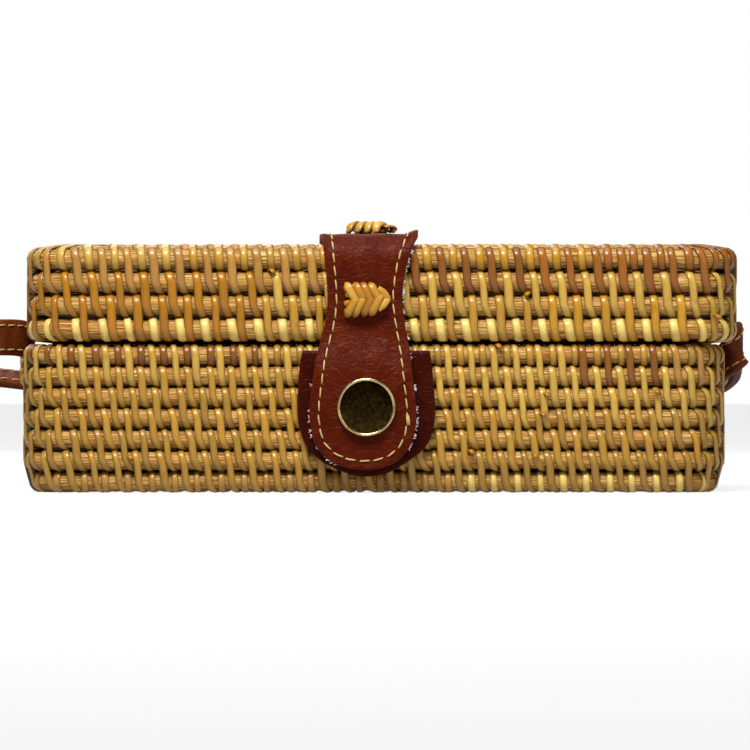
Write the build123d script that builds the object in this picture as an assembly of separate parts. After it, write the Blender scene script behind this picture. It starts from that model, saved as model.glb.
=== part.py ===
"""Rectangular rattan box bag with a hinged lid, a leather snap flap and a leather strap.

Millimetres. +Z is up, -Y is the front with the flap, +X is the bag's right as seen from the
front. The origin is the centre of the underside. One STEP file is written for each piece.
"""
from build123d import *
from math import radians, tan
import os

# ---- Basket shells ------------------------------------------------------------------------
BASE_LENGTH = 196.6      # along X, over the weave
BASE_DEPTH = 138.0       # along Y, over the weave
BASE_HEIGHT = 41.5       # underside to rim
LID_LENGTH = 198.9
LID_DEPTH = 140.0
LID_HEIGHT = 27.6
LID_SHIFT_X = 2.2        # the lid sits a little to the right on its base
RIM_GAP = 0.5            # between the two rims
WALL = 6.2               # rod and the cane on both its faces
CORNER_RADIUS = 16.5     # upright corners
BOTTOM_EDGE_RADIUS = 7.5
TOP_EDGE_RADIUS = 5.5
RIM_EDGE_RADIUS = 1.6

# ---- Linings ------------------------------------------------------------------------------
LINING_THICKNESS = 0.8
LINING_GAP = 0.25        # between cloth and weave
LINING_RIM_DROP = 4.0    # the cloth stops this far inside each rim

# ---- Leather ------------------------------------------------------------------------------
LAYER_GAP = 0.3          # between pieces that lie on each other
FLAP_THICKNESS = 2.2
FLAP_CENTRE_X = -2.6
FLAP_TOP_WIDTH = 27.0    # on the lid's top
FLAP_NECK_WIDTH = 21.0   # beside the front tie
FLAP_FOLD_WIDTH = 22.6   # where the tongue starts
FLAP_END_WIDTH = 30.2    # round end
FLAP_REACH_BACK = 34.0   # from the lid's front edge back over its top
FLAP_FOLD_Z = 47.0       # the tongue hinges here
FLAP_FOLD_GAP = 0.35
TONGUE_END_Z = 6.4
TAB_WIDTH = 38.4         # at its widest
TAB_TOP_WIDTH = 35.0
TAB_THICKNESS = 1.6
TAB_TOP_Z = 39.4
TAB_BOTTOM_Z = 4.6
TAB_CENTRE_X = -2.1
TAB_ROUND_RISE = 18.5    # height of the tab's round end

# ---- Snap ---------------------------------------------------------------------------------
SNAP_Z = 23.9
SNAP_CAP_RADIUS = 8.2
SNAP_CAP_THICKNESS = 1.5
SNAP_RIM_WIDTH = 1.0
SNAP_RIM_HEIGHT = 0.5
SNAP_BARREL_RADIUS = 2.2
SNAP_BARREL_HOLE = 2.45
SOCKET_RADIUS = 6.0
SOCKET_THICKNESS = 1.9
SOCKET_BORE = 2.6
STUD_FLANGE_RADIUS = 6.0
STUD_FLANGE_THICKNESS = 0.8
STUD_NECK_RADIUS = 1.9
STUD_HEAD_RADIUS = 2.3
STUD_HEAD_LENGTH = 1.0
STUD_POST_RADIUS = 1.5
STUD_POST_HOLE = 1.75
STUD_BACK_RADIUS = 6.0
STUD_BACK_THICKNESS = 1.0

# ---- Rattan ties --------------------------------------------------------------------------
TIE_WIDTH = 12.2
TIE_HEIGHT = 9.0
TIE_THICKNESS = 3.4
TOP_TIE_THICKNESS = 4.2
HIDDEN_TIE_THICKNESS = 1.5
TIE_LEG_RADIUS = 1.1
TIE_LEG_SPACING = 6.0
TIE_LEG_CLEARANCE = 0.2
TIE_BACK_THICKNESS = 1.6
FRONT_TIE_Z = 53.7
TOP_TIE_SETBACK = 21.0   # from the lid's front edge
TAB_TIE_Z = 33.1
TAB_TIE_HEIGHT = 4.0
TIE_CORNER_SHARE = 0.3   # of the tie's height, for its corners and its crown
TIE_CROWN_SHARE = 0.55   # of the tie's thickness, at most

# ---- Hinge ties ---------------------------------------------------------------------------
HINGE_TIE_X = 56.0
HINGE_STRAND_RADIUS = 1.5
HINGE_STRANDS = 3
HINGE_STRAND_PITCH = 3.1
HINGE_LOOP_REACH = 7.5   # above and below the seam

# ---- Strap --------------------------------------------------------------------------------
STRAP_WIDTH = 10.4
STRAP_THICKNESS = 2.6
STRAP_TIE_Y = 32.0
STRAP_TIE_Z = 35.2
COIL_CENTRE = (0.0, 135.0)
COIL_RADIUS = 50.0
COIL_TURNS = 2
COIL_PITCH = 10.8
COIL_ENTRY_Z = 5.5
BEND_SHARE = 0.45        # of the shorter run, taken up by each bend

# The strap's two routes, each from its tie on the end wall to the coil behind the bag.
STRAP_LEFT_ROUTE = [
    (-99.9, 43.0, 35.2),
    (-99.9, 20.0, 35.6),
    (-103.5, 5.0, 39.4),
    (-114.5, -3.5, 43.2),
    (-128.0, 3.5, 44.0),
    (-135.5, 24.0, 43.0),
    (-134.5, 50.0, 39.6),
    (-124.5, 73.0, 34.2),
    (-103.0, 86.5, 25.0),
    (-76.0, 88.6, 16.6),
    (-49.0, 86.4, 9.8),
    (-25.0, 83.4, 6.0),
    (-4.0, 81.9, 5.5),
]
STRAP_RIGHT_ROUTE = [
    (99.9, 43.0, 35.2),
    (99.9, 24.0, 35.3),
    (99.9, 9.0, 35.5),
    (99.9, -2.1, 35.9),
    (104.6, -6.5, 37.4),
    (110.7, -6.5, 40.0),
    (115.1, -2.1, 42.0),
    (116.9, 9.5, 43.0),
    (118.6, 25.0, 43.0),
    (119.2, 44.0, 40.8),
    (118.0, 68.0, 36.0),
    (104.0, 88.5, 30.4),
    (78.0, 91.0, 27.6),
    (50.0, 87.4, 26.9),
    (26.0, 83.5, 26.9),
    (4.0, 81.4, 27.1),
]

# ---- Places worked out from the sizes above -------------------------------------------------
BASE_FRONT = -BASE_DEPTH / 2
LID_FRONT = -LID_DEPTH / 2
LID_BACK = LID_DEPTH / 2
LID_BOTTOM = BASE_HEIGHT + RIM_GAP
LID_TOP = LID_BOTTOM + LID_HEIGHT
SEAM_Z = BASE_HEIGHT + RIM_GAP / 2
TAB_INNER_Y = BASE_FRONT - LAYER_GAP
TAB_OUTER_Y = TAB_INNER_Y - TAB_THICKNESS
FLAP_INNER_Y = LID_FRONT - LAYER_GAP
FLAP_OUTER_Y = FLAP_INNER_Y - FLAP_THICKNESS
SNAP_X = TAB_CENTRE_X
FLANGE_OUTER_Y = TAB_OUTER_Y - STUD_FLANGE_THICKNESS
SOCKET_INNER_Y = FLANGE_OUTER_Y - LAYER_GAP
TONGUE_INNER_Y = SOCKET_INNER_Y - SOCKET_THICKNESS
TONGUE_OUTER_Y = TONGUE_INNER_Y - FLAP_THICKNESS


def rounded_block(length, depth, low, high, corner, centre_x=0.0):
    """A block with rounded upright edges between two heights."""
    outline = Plane.XY.offset(low) * Pos(centre_x, 0) * RectangleRounded(length, depth, corner)
    return extrude(outline, amount=high - low)


def cylinder_y(radius, y_from, y_to, x, z):
    """A cylinder along Y between two depths."""
    middle = (y_from + y_to) / 2
    return Pos(x, middle, z) * Rot(90, 0, 0) * Cylinder(radius, abs(y_to - y_from))


def block(x, y, z):
    """A block between the low and high value on each axis."""
    size = Box(x[1] - x[0], y[1] - y[0], z[1] - z[0])
    return Pos((x[0] + x[1]) / 2, (y[0] + y[1]) / 2, (z[0] + z[1]) / 2) * size


def edges_at(shape, z):
    """The shape's edges that lie wholly at one height."""
    return shape.edges().filter_by_position(Axis.Z, z - 0.01, z + 0.01)


# ---- Rattan ties ----------------------------------------------------------------------------
def tie_local(width, height, thickness, grip):
    """A knotted tie on the plane z=0: a domed pad, two legs down through grip, and a back bar."""
    corner = height * TIE_CORNER_SHARE
    pad = extrude(RectangleRounded(width, height, corner), amount=thickness)
    crown = min(thickness * TIE_CROWN_SHARE, corner)
    pad = fillet(edges_at(pad, thickness), crown)
    back_top = -grip - LAYER_GAP
    tie = pad
    for side in (-1, 1):
        leg_length = -back_top + TIE_BACK_THICKNESS / 2
        leg = Cylinder(TIE_LEG_RADIUS, leg_length, align=(Align.CENTER, Align.CENTER, Align.MAX))
        tie += Pos(side * TIE_LEG_SPACING / 2, 0, 0) * leg
    bar_length = TIE_LEG_SPACING + 2 * TIE_LEG_RADIUS
    bar = Box(bar_length, 2 * TIE_LEG_RADIUS, TIE_BACK_THICKNESS)
    tie += Pos(0, 0, back_top - TIE_BACK_THICKNESS / 2) * bar
    return tie


def tie_holes_local(grip):
    """The two holes that a tie's legs need through everything between pad and back bar."""
    depth = 2 * (grip + TIE_BACK_THICKNESS)
    hole = Cylinder(TIE_LEG_RADIUS + TIE_LEG_CLEARANCE, depth)
    return [Pos(side * TIE_LEG_SPACING / 2, 0, 0) * hole for side in (-1, 1)]


def lining_stack():
    """Depth of the wall and its lining, from the outer face of the weave."""
    return WALL + LINING_GAP + LINING_THICKNESS


def front_place(x, y, z):
    """Local plane of a tie on a front face: its pad faces -Y."""
    return Pos(x, y, z) * Rot(90, 0, 0)


def top_place(x, y, z):
    """Local plane of a tie on a top face: its pad faces +Z."""
    return Pos(x, y, z)


def side_place(side, y, z):
    """Local plane of a tie on an end wall, over the strap: its pad faces outward."""
    outer = BASE_LENGTH / 2 + LAYER_GAP + STRAP_THICKNESS + LAYER_GAP
    return Pos(side * outer, y, z) * Rot(0, side * 90, 0) * Rot(0, 0, 90)


def make_tie(place, grip, thickness=TIE_THICKNESS, height=TIE_HEIGHT):
    """One tie in its place, with the holes that it needs."""
    solid = place * tie_local(TIE_WIDTH, height, thickness, grip)
    holes = [place * hole for hole in tie_holes_local(grip)]
    return solid, holes


def all_ties():
    """Every knotted tie by name, as a pair: its solid and its leg holes."""
    flap_grip = LAYER_GAP + FLAP_THICKNESS + LAYER_GAP + lining_stack()
    tab_grip = LAYER_GAP + TAB_THICKNESS + LAYER_GAP + lining_stack()
    strap_grip = LAYER_GAP + STRAP_THICKNESS + LAYER_GAP + lining_stack()
    top_y = LID_FRONT + TOP_TIE_SETBACK
    top_z = LID_TOP + LAYER_GAP + FLAP_THICKNESS + LAYER_GAP
    front_y = FLAP_OUTER_Y - LAYER_GAP
    tab_y = TAB_OUTER_Y - LAYER_GAP
    return {
        "flap_front_tie": make_tie(front_place(FLAP_CENTRE_X, front_y, FRONT_TIE_Z), flap_grip),
        "flap_top_tie": make_tie(
            top_place(FLAP_CENTRE_X, top_y, top_z), flap_grip, TOP_TIE_THICKNESS
        ),
        "tab_tie": make_tie(
            front_place(TAB_CENTRE_X, tab_y, TAB_TIE_Z), tab_grip, HIDDEN_TIE_THICKNESS, TAB_TIE_HEIGHT
        ),
        "strap_tie_left": make_tie(side_place(-1, STRAP_TIE_Y, STRAP_TIE_Z), strap_grip),
        "strap_tie_right": make_tie(side_place(1, STRAP_TIE_Y, STRAP_TIE_Z), strap_grip),
    }


def cut(shape, tools):
    """The shape with every tool taken out of it."""
    for tool in tools:
        shape = shape - tool
    return shape


# ---- Hinge ties -----------------------------------------------------------------------------
def hinge_loop_box():
    """Inner and outer depth and the two heights of a hinge loop's centreline."""
    inner_wall_y = min(BASE_DEPTH, LID_DEPTH) / 2 - lining_stack()
    inner_y = inner_wall_y - LAYER_GAP - HINGE_STRAND_RADIUS
    outer_y = LID_BACK + LAYER_GAP + HINGE_STRAND_RADIUS
    return inner_y, outer_y, SEAM_Z - HINGE_LOOP_REACH, SEAM_Z + HINGE_LOOP_REACH


def hinge_tie(centre_x):
    """Strands looped side by side through both back walls, joined by a binding behind."""
    inner_y, outer_y, low, high = hinge_loop_box()
    corner = 2 * HINGE_STRAND_RADIUS
    depth = outer_y - inner_y
    height = high - low
    middle_y = (inner_y + outer_y) / 2
    tie = None
    for index in range(HINGE_STRANDS):
        x = centre_x + (index - (HINGE_STRANDS - 1) / 2) * HINGE_STRAND_PITCH
        outer = RectangleRounded(
            depth + 2 * HINGE_STRAND_RADIUS, height + 2 * HINGE_STRAND_RADIUS, corner
        )
        inner = Rectangle(depth - 2 * HINGE_STRAND_RADIUS, height - 2 * HINGE_STRAND_RADIUS)
        ring = extrude(outer - inner, amount=HINGE_STRAND_RADIUS, both=True)
        strand = Pos(x, middle_y, SEAM_Z) * Rot(0, 0, 90) * Rot(90, 0, 0) * ring
        tie = strand if tie is None else tie + strand
    half_width = HINGE_STRANDS * HINGE_STRAND_PITCH / 2
    binding = block(
        (centre_x - half_width, centre_x + half_width),
        (outer_y - HINGE_STRAND_RADIUS, outer_y + HINGE_STRAND_RADIUS),
        (SEAM_Z - HINGE_STRAND_RADIUS, SEAM_Z + HINGE_STRAND_RADIUS),
    )
    return tie + binding


def hinge_slots():
    """Slots through both back walls for the two hinge ties."""
    inner_y, outer_y, low, high = hinge_loop_box()
    half_width = HINGE_STRANDS * HINGE_STRAND_PITCH / 2 + TIE_LEG_CLEARANCE
    half_height = HINGE_STRAND_RADIUS + TIE_LEG_CLEARANCE
    slots = []
    for side in (-1, 1):
        for z in (low, high):
            slots.append(
                block(
                    (side * HINGE_TIE_X - half_width, side * HINGE_TIE_X + half_width),
                    (inner_y - HINGE_STRAND_RADIUS, outer_y + HINGE_STRAND_RADIUS),
                    (z - half_height, z + half_height),
                )
            )
    return slots


# ---- Basket shells and linings --------------------------------------------------------------
def base_basket():
    """The lower basket: a tray with rounded corners, open at the top."""
    outer = rounded_block(BASE_LENGTH, BASE_DEPTH, 0, BASE_HEIGHT, CORNER_RADIUS)
    outer = fillet(edges_at(outer, 0), BOTTOM_EDGE_RADIUS)
    outer = fillet(edges_at(outer, BASE_HEIGHT), RIM_EDGE_RADIUS)
    inner = rounded_block(
        BASE_LENGTH - 2 * WALL, BASE_DEPTH - 2 * WALL, WALL, BASE_HEIGHT + 1, CORNER_RADIUS - WALL
    )
    return outer - fillet(edges_at(inner, WALL), BOTTOM_EDGE_RADIUS / 2)


def lid_basket():
    """The lid: the same tray, shallower, a little larger, and open at the bottom."""
    outer = rounded_block(LID_LENGTH, LID_DEPTH, LID_BOTTOM, LID_TOP, CORNER_RADIUS, LID_SHIFT_X)
    outer = fillet(edges_at(outer, LID_TOP), TOP_EDGE_RADIUS)
    outer = fillet(edges_at(outer, LID_BOTTOM), RIM_EDGE_RADIUS)
    ceiling = LID_TOP - WALL
    inner = rounded_block(
        LID_LENGTH - 2 * WALL,
        LID_DEPTH - 2 * WALL,
        LID_BOTTOM - 1,
        ceiling,
        CORNER_RADIUS - WALL,
        LID_SHIFT_X,
    )
    return outer - fillet(edges_at(inner, ceiling), TOP_EDGE_RADIUS / 2)


def lining(length, depth, closed_z, open_z, centre_x=0.0):
    """A cloth tray inside a basket, closed at one height and open at the other."""
    inset = WALL + LINING_GAP
    corner = CORNER_RADIUS - inset
    floor_radius = BOTTOM_EDGE_RADIUS / 2 + LINING_THICKNESS
    low = min(closed_z, open_z)
    high = max(closed_z, open_z)
    up = 1 if closed_z < open_z else -1
    outer = rounded_block(length - 2 * inset, depth - 2 * inset, low, high, corner, centre_x)
    outer = fillet(edges_at(outer, closed_z), floor_radius)
    inner_closed = closed_z + up * LINING_THICKNESS
    inner_open = open_z + up
    cut_inset = inset + LINING_THICKNESS
    inner = rounded_block(
        length - 2 * cut_inset,
        depth - 2 * cut_inset,
        min(inner_closed, inner_open),
        max(inner_closed, inner_open),
        corner - LINING_THICKNESS,
        centre_x,
    )
    inner = fillet(edges_at(inner, inner_closed), floor_radius - LINING_THICKNESS)
    return outer - inner


def base_lining():
    """Lining of the lower basket."""
    return lining(BASE_LENGTH, BASE_DEPTH, WALL + LINING_GAP, BASE_HEIGHT - LINING_RIM_DROP)


def lid_lining():
    """Lining of the lid."""
    closed = LID_TOP - WALL - LINING_GAP
    return lining(LID_LENGTH, LID_DEPTH, closed, LID_BOTTOM + LINING_RIM_DROP, LID_SHIFT_X)


# ---- Flap and tab ---------------------------------------------------------------------------
def flap_upper():
    """The flap's fixed part: along the lid's top, over its front edge and down past the tie."""
    bend = TOP_EDGE_RADIUS + LAYER_GAP
    top_z = LID_TOP + LAYER_GAP
    back_y = LID_FRONT + FLAP_REACH_BACK
    lower_z = FLAP_FOLD_Z + FLAP_FOLD_GAP
    path = FilletPolyline(
        (0, back_y, top_z), (0, FLAP_INNER_Y, top_z), (0, FLAP_INNER_Y, lower_z), radius=bend
    )
    outside = FilletPolyline(
        (0, back_y, top_z + FLAP_THICKNESS),
        (0, FLAP_OUTER_Y, top_z + FLAP_THICKNESS),
        (0, FLAP_OUTER_Y, lower_z),
        radius=bend + FLAP_THICKNESS,
    )
    closing = [
        Line((0, back_y, top_z), (0, back_y, top_z + FLAP_THICKNESS)),
        Line((0, FLAP_INNER_Y, lower_z), (0, FLAP_OUTER_Y, lower_z)),
    ]
    profile = make_face(path.edges() + outside.edges() + closing)
    band = extrude(profile, amount=FLAP_TOP_WIDTH / 2, dir=(1, 0, 0), both=True)
    half_neck = FLAP_NECK_WIDTH / 2
    half_fold = FLAP_FOLD_WIDTH / 2
    half_top = FLAP_TOP_WIDTH / 2
    for side in (-1, 1):
        waist = Polyline(
            (side * half_top, LID_TOP - TOP_EDGE_RADIUS),
            (side * half_neck, FRONT_TIE_Z + TIE_HEIGHT / 2),
            (side * half_neck, FRONT_TIE_Z - TIE_HEIGHT / 4),
            (side * half_fold, FLAP_FOLD_Z - 1),
            (side * FLAP_TOP_WIDTH, FLAP_FOLD_Z - 1),
            (side * FLAP_TOP_WIDTH, LID_TOP - TOP_EDGE_RADIUS),
            close=True,
        )
        face = make_face(Plane.XZ * waist)
        band -= Pos(0, LID_FRONT, 0) * extrude(face, amount=3 * FLAP_THICKNESS, dir=(0, -1, 0))
    return Pos(FLAP_CENTRE_X, 0, 0) * band


def flap_tongue():
    """The flap's moving part: stands off the base over the snap, and ends round."""
    half_fold = FLAP_FOLD_WIDTH / 2
    half_end = FLAP_END_WIDTH / 2
    end_centre_z = TONGUE_END_Z + half_end
    top_z = FLAP_FOLD_Z - FLAP_FOLD_GAP
    flat_top_z = SNAP_Z + SNAP_CAP_RADIUS
    outline = [
        Line((-half_fold, top_z), (half_fold, top_z)),
        Line((half_fold, top_z), (half_end, end_centre_z)),
        ThreePointArc((half_end, end_centre_z), (0, TONGUE_END_Z), (-half_end, end_centre_z)),
        Line((-half_end, end_centre_z), (-half_fold, top_z)),
    ]
    face = make_face([Plane.XZ * edge for edge in outline])
    slab_depth = 6 * FLAP_THICKNESS
    slab = Pos(0, LID_FRONT, 0) * extrude(face, amount=slab_depth, dir=(0, -1, 0))
    inner = [
        (0, FLAP_INNER_Y, top_z + 1),
        (0, FLAP_INNER_Y, top_z - 1),
        (0, TONGUE_INNER_Y, flat_top_z),
        (0, TONGUE_INNER_Y, TONGUE_END_Z - 1),
    ]
    outer = [(0, y - FLAP_THICKNESS, z) for _, y, z in reversed(inner)]
    side_face = make_face(Polyline(*inner, *outer, close=True))
    side_slab = extrude(side_face, amount=FLAP_END_WIDTH, dir=(1, 0, 0), both=True)
    return Pos(FLAP_CENTRE_X, 0, 0) * (slab & side_slab)


def backing_tab():
    """The leather tab on the base that carries the stud: square above, round below."""
    half = TAB_WIDTH / 2
    half_top = TAB_TOP_WIDTH / 2
    arc_start_z = TAB_BOTTOM_Z + TAB_ROUND_RISE
    outline = [
        Line((-half_top, TAB_TOP_Z), (half_top, TAB_TOP_Z)),
        Line((half_top, TAB_TOP_Z), (half, arc_start_z)),
        ThreePointArc((half, arc_start_z), (0, TAB_BOTTOM_Z), (-half, arc_start_z)),
        Line((-half, arc_start_z), (-half_top, TAB_TOP_Z)),
    ]
    face = make_face([Plane.XZ * edge for edge in outline])
    tab = extrude(face, amount=TAB_THICKNESS, dir=(0, -1, 0))
    return Pos(TAB_CENTRE_X, TAB_INNER_Y, 0) * tab


# ---- Snap -----------------------------------------------------------------------------------
def snap_cap():
    """The brass cap on the tongue, with a raised rim and a barrel into the socket."""
    back = TONGUE_OUTER_Y
    front = back - SNAP_CAP_THICKNESS
    cap = cylinder_y(SNAP_CAP_RADIUS, back, front, SNAP_X, SNAP_Z)
    rim = cylinder_y(SNAP_CAP_RADIUS, front, front - SNAP_RIM_HEIGHT, SNAP_X, SNAP_Z)
    inner_radius = SNAP_CAP_RADIUS - SNAP_RIM_WIDTH
    rim -= cylinder_y(inner_radius, front, front - SNAP_RIM_HEIGHT, SNAP_X, SNAP_Z)
    barrel = cylinder_y(SNAP_BARREL_RADIUS, back, TONGUE_INNER_Y, SNAP_X, SNAP_Z)
    return cap + rim + barrel


def snap_socket():
    """The socket ring on the tongue's inner face."""
    ring = cylinder_y(SOCKET_RADIUS, TONGUE_INNER_Y, SOCKET_INNER_Y, SNAP_X, SNAP_Z)
    return ring - cylinder_y(SOCKET_BORE, TONGUE_INNER_Y, SOCKET_INNER_Y, SNAP_X, SNAP_Z)


def snap_stud():
    """The stud on the tab: a flange and a waisted post with a bead at its tip."""
    flange = cylinder_y(STUD_FLANGE_RADIUS, TAB_OUTER_Y, FLANGE_OUTER_Y, SNAP_X, SNAP_Z)
    tip_y = TONGUE_INNER_Y + LAYER_GAP
    neck = cylinder_y(STUD_NECK_RADIUS, FLANGE_OUTER_Y, tip_y, SNAP_X, SNAP_Z)
    head = cylinder_y(STUD_HEAD_RADIUS, tip_y + STUD_HEAD_LENGTH, tip_y, SNAP_X, SNAP_Z)
    return flange + neck + head


def snap_stud_back():
    """The stud's post through tab, wall and lining, with its flange inside the bag."""
    inside_y = BASE_FRONT + lining_stack() + LAYER_GAP
    post = cylinder_y(STUD_POST_RADIUS, TAB_OUTER_Y, inside_y, SNAP_X, SNAP_Z)
    flange = cylinder_y(STUD_BACK_RADIUS, inside_y, inside_y + STUD_BACK_THICKNESS, SNAP_X, SNAP_Z)
    return post + flange


# ---- Strap ----------------------------------------------------------------------------------
def bend_radii(route):
    """For each inner point, a share of the shorter run over the tangent of half the turn."""
    radii = []
    for before, point, after in zip(route, route[1:], route[2:]):
        run_in = Vector(*point) - Vector(*before)
        run_out = Vector(*after) - Vector(*point)
        half_turn = radians(run_in.get_angle(run_out)) / 2
        shorter = min(run_in.length, run_out.length)
        radii.append(BEND_SHARE * shorter / tan(half_turn))
    return radii


def strap_span(name, route):
    """A flat strap along a route, its width upright."""
    radii = bend_radii(route)
    path = FilletPolyline(*route, radius=radii)
    start = Plane(origin=path @ 0, x_dir=Vector(0, 0, 1), z_dir=path % 0)
    section = start * Rectangle(STRAP_WIDTH, STRAP_THICKNESS)
    span = sweep(section, path=path)
    print(name, "radii", [round(radius, 1) for radius in radii])
    print(name, "length", round(path.length, 1), "volume", round(span.volume, 1))
    print(name, "section x length", round(STRAP_WIDTH * STRAP_THICKNESS * path.length, 1))
    return span


def strap_coil():
    """Outer shape of the coiled strap: a ring as tall as its turns."""
    height = COIL_TURNS * COIL_PITCH + STRAP_WIDTH
    outer = Cylinder(COIL_RADIUS + STRAP_THICKNESS / 2, height)
    ring = outer - Cylinder(COIL_RADIUS - STRAP_THICKNESS / 2, height)
    return Pos(*COIL_CENTRE, height / 2 + COIL_ENTRY_Z - STRAP_WIDTH / 2) * ring


# ---- Assembly -------------------------------------------------------------------------------
def build():
    """Every piece by its node name."""
    ties = all_ties()
    slots = hinge_slots()
    post_hole = cylinder_y(STUD_POST_HOLE, TAB_OUTER_Y - 1, BASE_FRONT + 2 * WALL, SNAP_X, SNAP_Z)
    barrel_hole = cylinder_y(
        SNAP_BARREL_HOLE, TONGUE_OUTER_Y - 1, TONGUE_INNER_Y + 1, SNAP_X, SNAP_Z
    )
    lid_holes = ties["flap_front_tie"][1] + ties["flap_top_tie"][1]
    base_holes = ties["tab_tie"][1] + ties["strap_tie_left"][1] + ties["strap_tie_right"][1]
    base_holes = base_holes + [post_hole]
    pieces = {
        "base_basket": cut(base_basket(), base_holes + slots),
        "base_lining": cut(base_lining(), base_holes + slots),
        "lid_basket": cut(lid_basket(), lid_holes + slots),
        "lid_lining": cut(lid_lining(), lid_holes + slots),
        "flap_upper": cut(flap_upper(), lid_holes),
        "flap_tongue": cut(flap_tongue(), [barrel_hole]),
        "backing_tab": cut(backing_tab(), ties["tab_tie"][1] + [post_hole]),
        "snap_cap": snap_cap(),
        "snap_socket": snap_socket(),
        "snap_stud": snap_stud(),
        "snap_stud_back": snap_stud_back(),
        "hinge_tie_left": hinge_tie(-HINGE_TIE_X),
        "hinge_tie_right": hinge_tie(HINGE_TIE_X),
        "strap_left": cut(strap_span("strap_left", STRAP_LEFT_ROUTE), ties["strap_tie_left"][1]),
        "strap_right": cut(strap_span("strap_right", STRAP_RIGHT_ROUTE), ties["strap_tie_right"][1]),
        "strap_coil": strap_coil(),
    }
    for name, (solid, _) in ties.items():
        pieces[name] = solid
    return pieces


def main():
    os.makedirs("parts", exist_ok=True)
    for name, shape in build().items():
        export_step(shape, f"parts/{name}.step")


main()
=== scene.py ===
"""Basket box bag: the looks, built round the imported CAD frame.

Lengths are in millimetres until a mesh is made. +Z is up, -Y is the front with the flap, and +X is
the right as seen from the front.
"""

import math
import random

import bmesh
import bpy
import numpy as np
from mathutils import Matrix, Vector


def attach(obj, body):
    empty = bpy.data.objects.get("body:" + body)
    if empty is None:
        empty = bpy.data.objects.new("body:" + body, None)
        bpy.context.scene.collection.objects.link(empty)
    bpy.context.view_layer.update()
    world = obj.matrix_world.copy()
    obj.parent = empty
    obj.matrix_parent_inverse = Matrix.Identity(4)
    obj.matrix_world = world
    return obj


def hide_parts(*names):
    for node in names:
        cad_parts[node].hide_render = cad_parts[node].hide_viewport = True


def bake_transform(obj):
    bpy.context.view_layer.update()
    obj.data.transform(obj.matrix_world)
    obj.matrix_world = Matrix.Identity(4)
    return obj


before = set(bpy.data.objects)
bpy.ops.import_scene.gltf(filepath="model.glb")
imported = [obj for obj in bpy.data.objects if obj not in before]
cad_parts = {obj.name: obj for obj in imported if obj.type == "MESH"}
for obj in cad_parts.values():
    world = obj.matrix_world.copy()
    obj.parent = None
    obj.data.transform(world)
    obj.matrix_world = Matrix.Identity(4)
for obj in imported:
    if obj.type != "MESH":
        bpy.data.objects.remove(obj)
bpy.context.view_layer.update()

MM = 0.001
UV_PER_MM = 0.01
SEED = 20
rng = random.Random(SEED)

# ---- Camera ----
CAMERA_PLACE = (0.0003, -2.070, 0.0328)
CAMERA_LENS = 345.6


def add_to_scene(made):
    bpy.context.scene.collection.objects.link(made)
    return made


def make_camera():
    data = bpy.data.cameras.new("camera")
    data.lens = CAMERA_LENS
    camera = add_to_scene(bpy.data.objects.new("camera", data))
    camera.location = CAMERA_PLACE
    camera.rotation_euler = (math.pi / 2, 0, 0)
    bpy.context.scene.camera = camera
    bpy.context.scene.view_settings.view_transform = "Standard"


make_camera()


# ---- Mesh helpers ----
def unit(vectors):
    vectors = np.asarray(vectors, float)
    return vectors / np.maximum(np.linalg.norm(vectors, axis=-1, keepdims=True), 1e-9)


def lengths_along(points):
    steps = np.linalg.norm(np.diff(points, axis=0), axis=1)
    return np.concatenate([[0.0], np.cumsum(steps)])


def smooth_through(points, per_span=12):
    """A smooth curve through the points."""
    points = np.asarray(points, float)
    ends = np.vstack([2 * points[0] - points[1], points, 2 * points[-1] - points[-2]])
    found = []
    for i in range(len(points) - 1):
        a, b, c, d = ends[i:i + 4]
        for k in range(per_span):
            t = k / per_span
            found.append(0.5 * (2 * b + (c - a) * t + (2 * a - 5 * b + 4 * c - d) * t * t
                                + (3 * b - a - 3 * c + d) * t ** 3))
    found.append(points[-1])
    return np.array(found)


def smooth_step(x, low, high):
    t = np.clip((np.asarray(x, float) - low) / (high - low), 0, 1)
    return t * t * (3 - 2 * t)


def path_frame(path, normals, closed=False):
    """Sideways and outward directions square to the path."""
    if closed:
        along = unit(np.roll(path, -1, axis=0) - np.roll(path, 1, axis=0))
    else:
        along = unit(np.gradient(path, axis=0))
    sides = unit(np.cross(normals, along))
    return sides, unit(np.cross(along, sides))


def grid_quads(rows, columns, close_rows=False, close_columns=False):
    """The faces between neighbouring points of a grid, whose ends may meet either way."""
    i = np.arange(rows if close_rows else rows - 1)[:, None]
    j = np.arange(columns if close_columns else columns - 1)[None, :]
    k, l = (i + 1) % rows, (j + 1) % columns
    corners = (i * columns + j, i * columns + l, k * columns + l, k * columns + j)
    return np.stack(corners, axis=-1).reshape(-1, 4)


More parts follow.
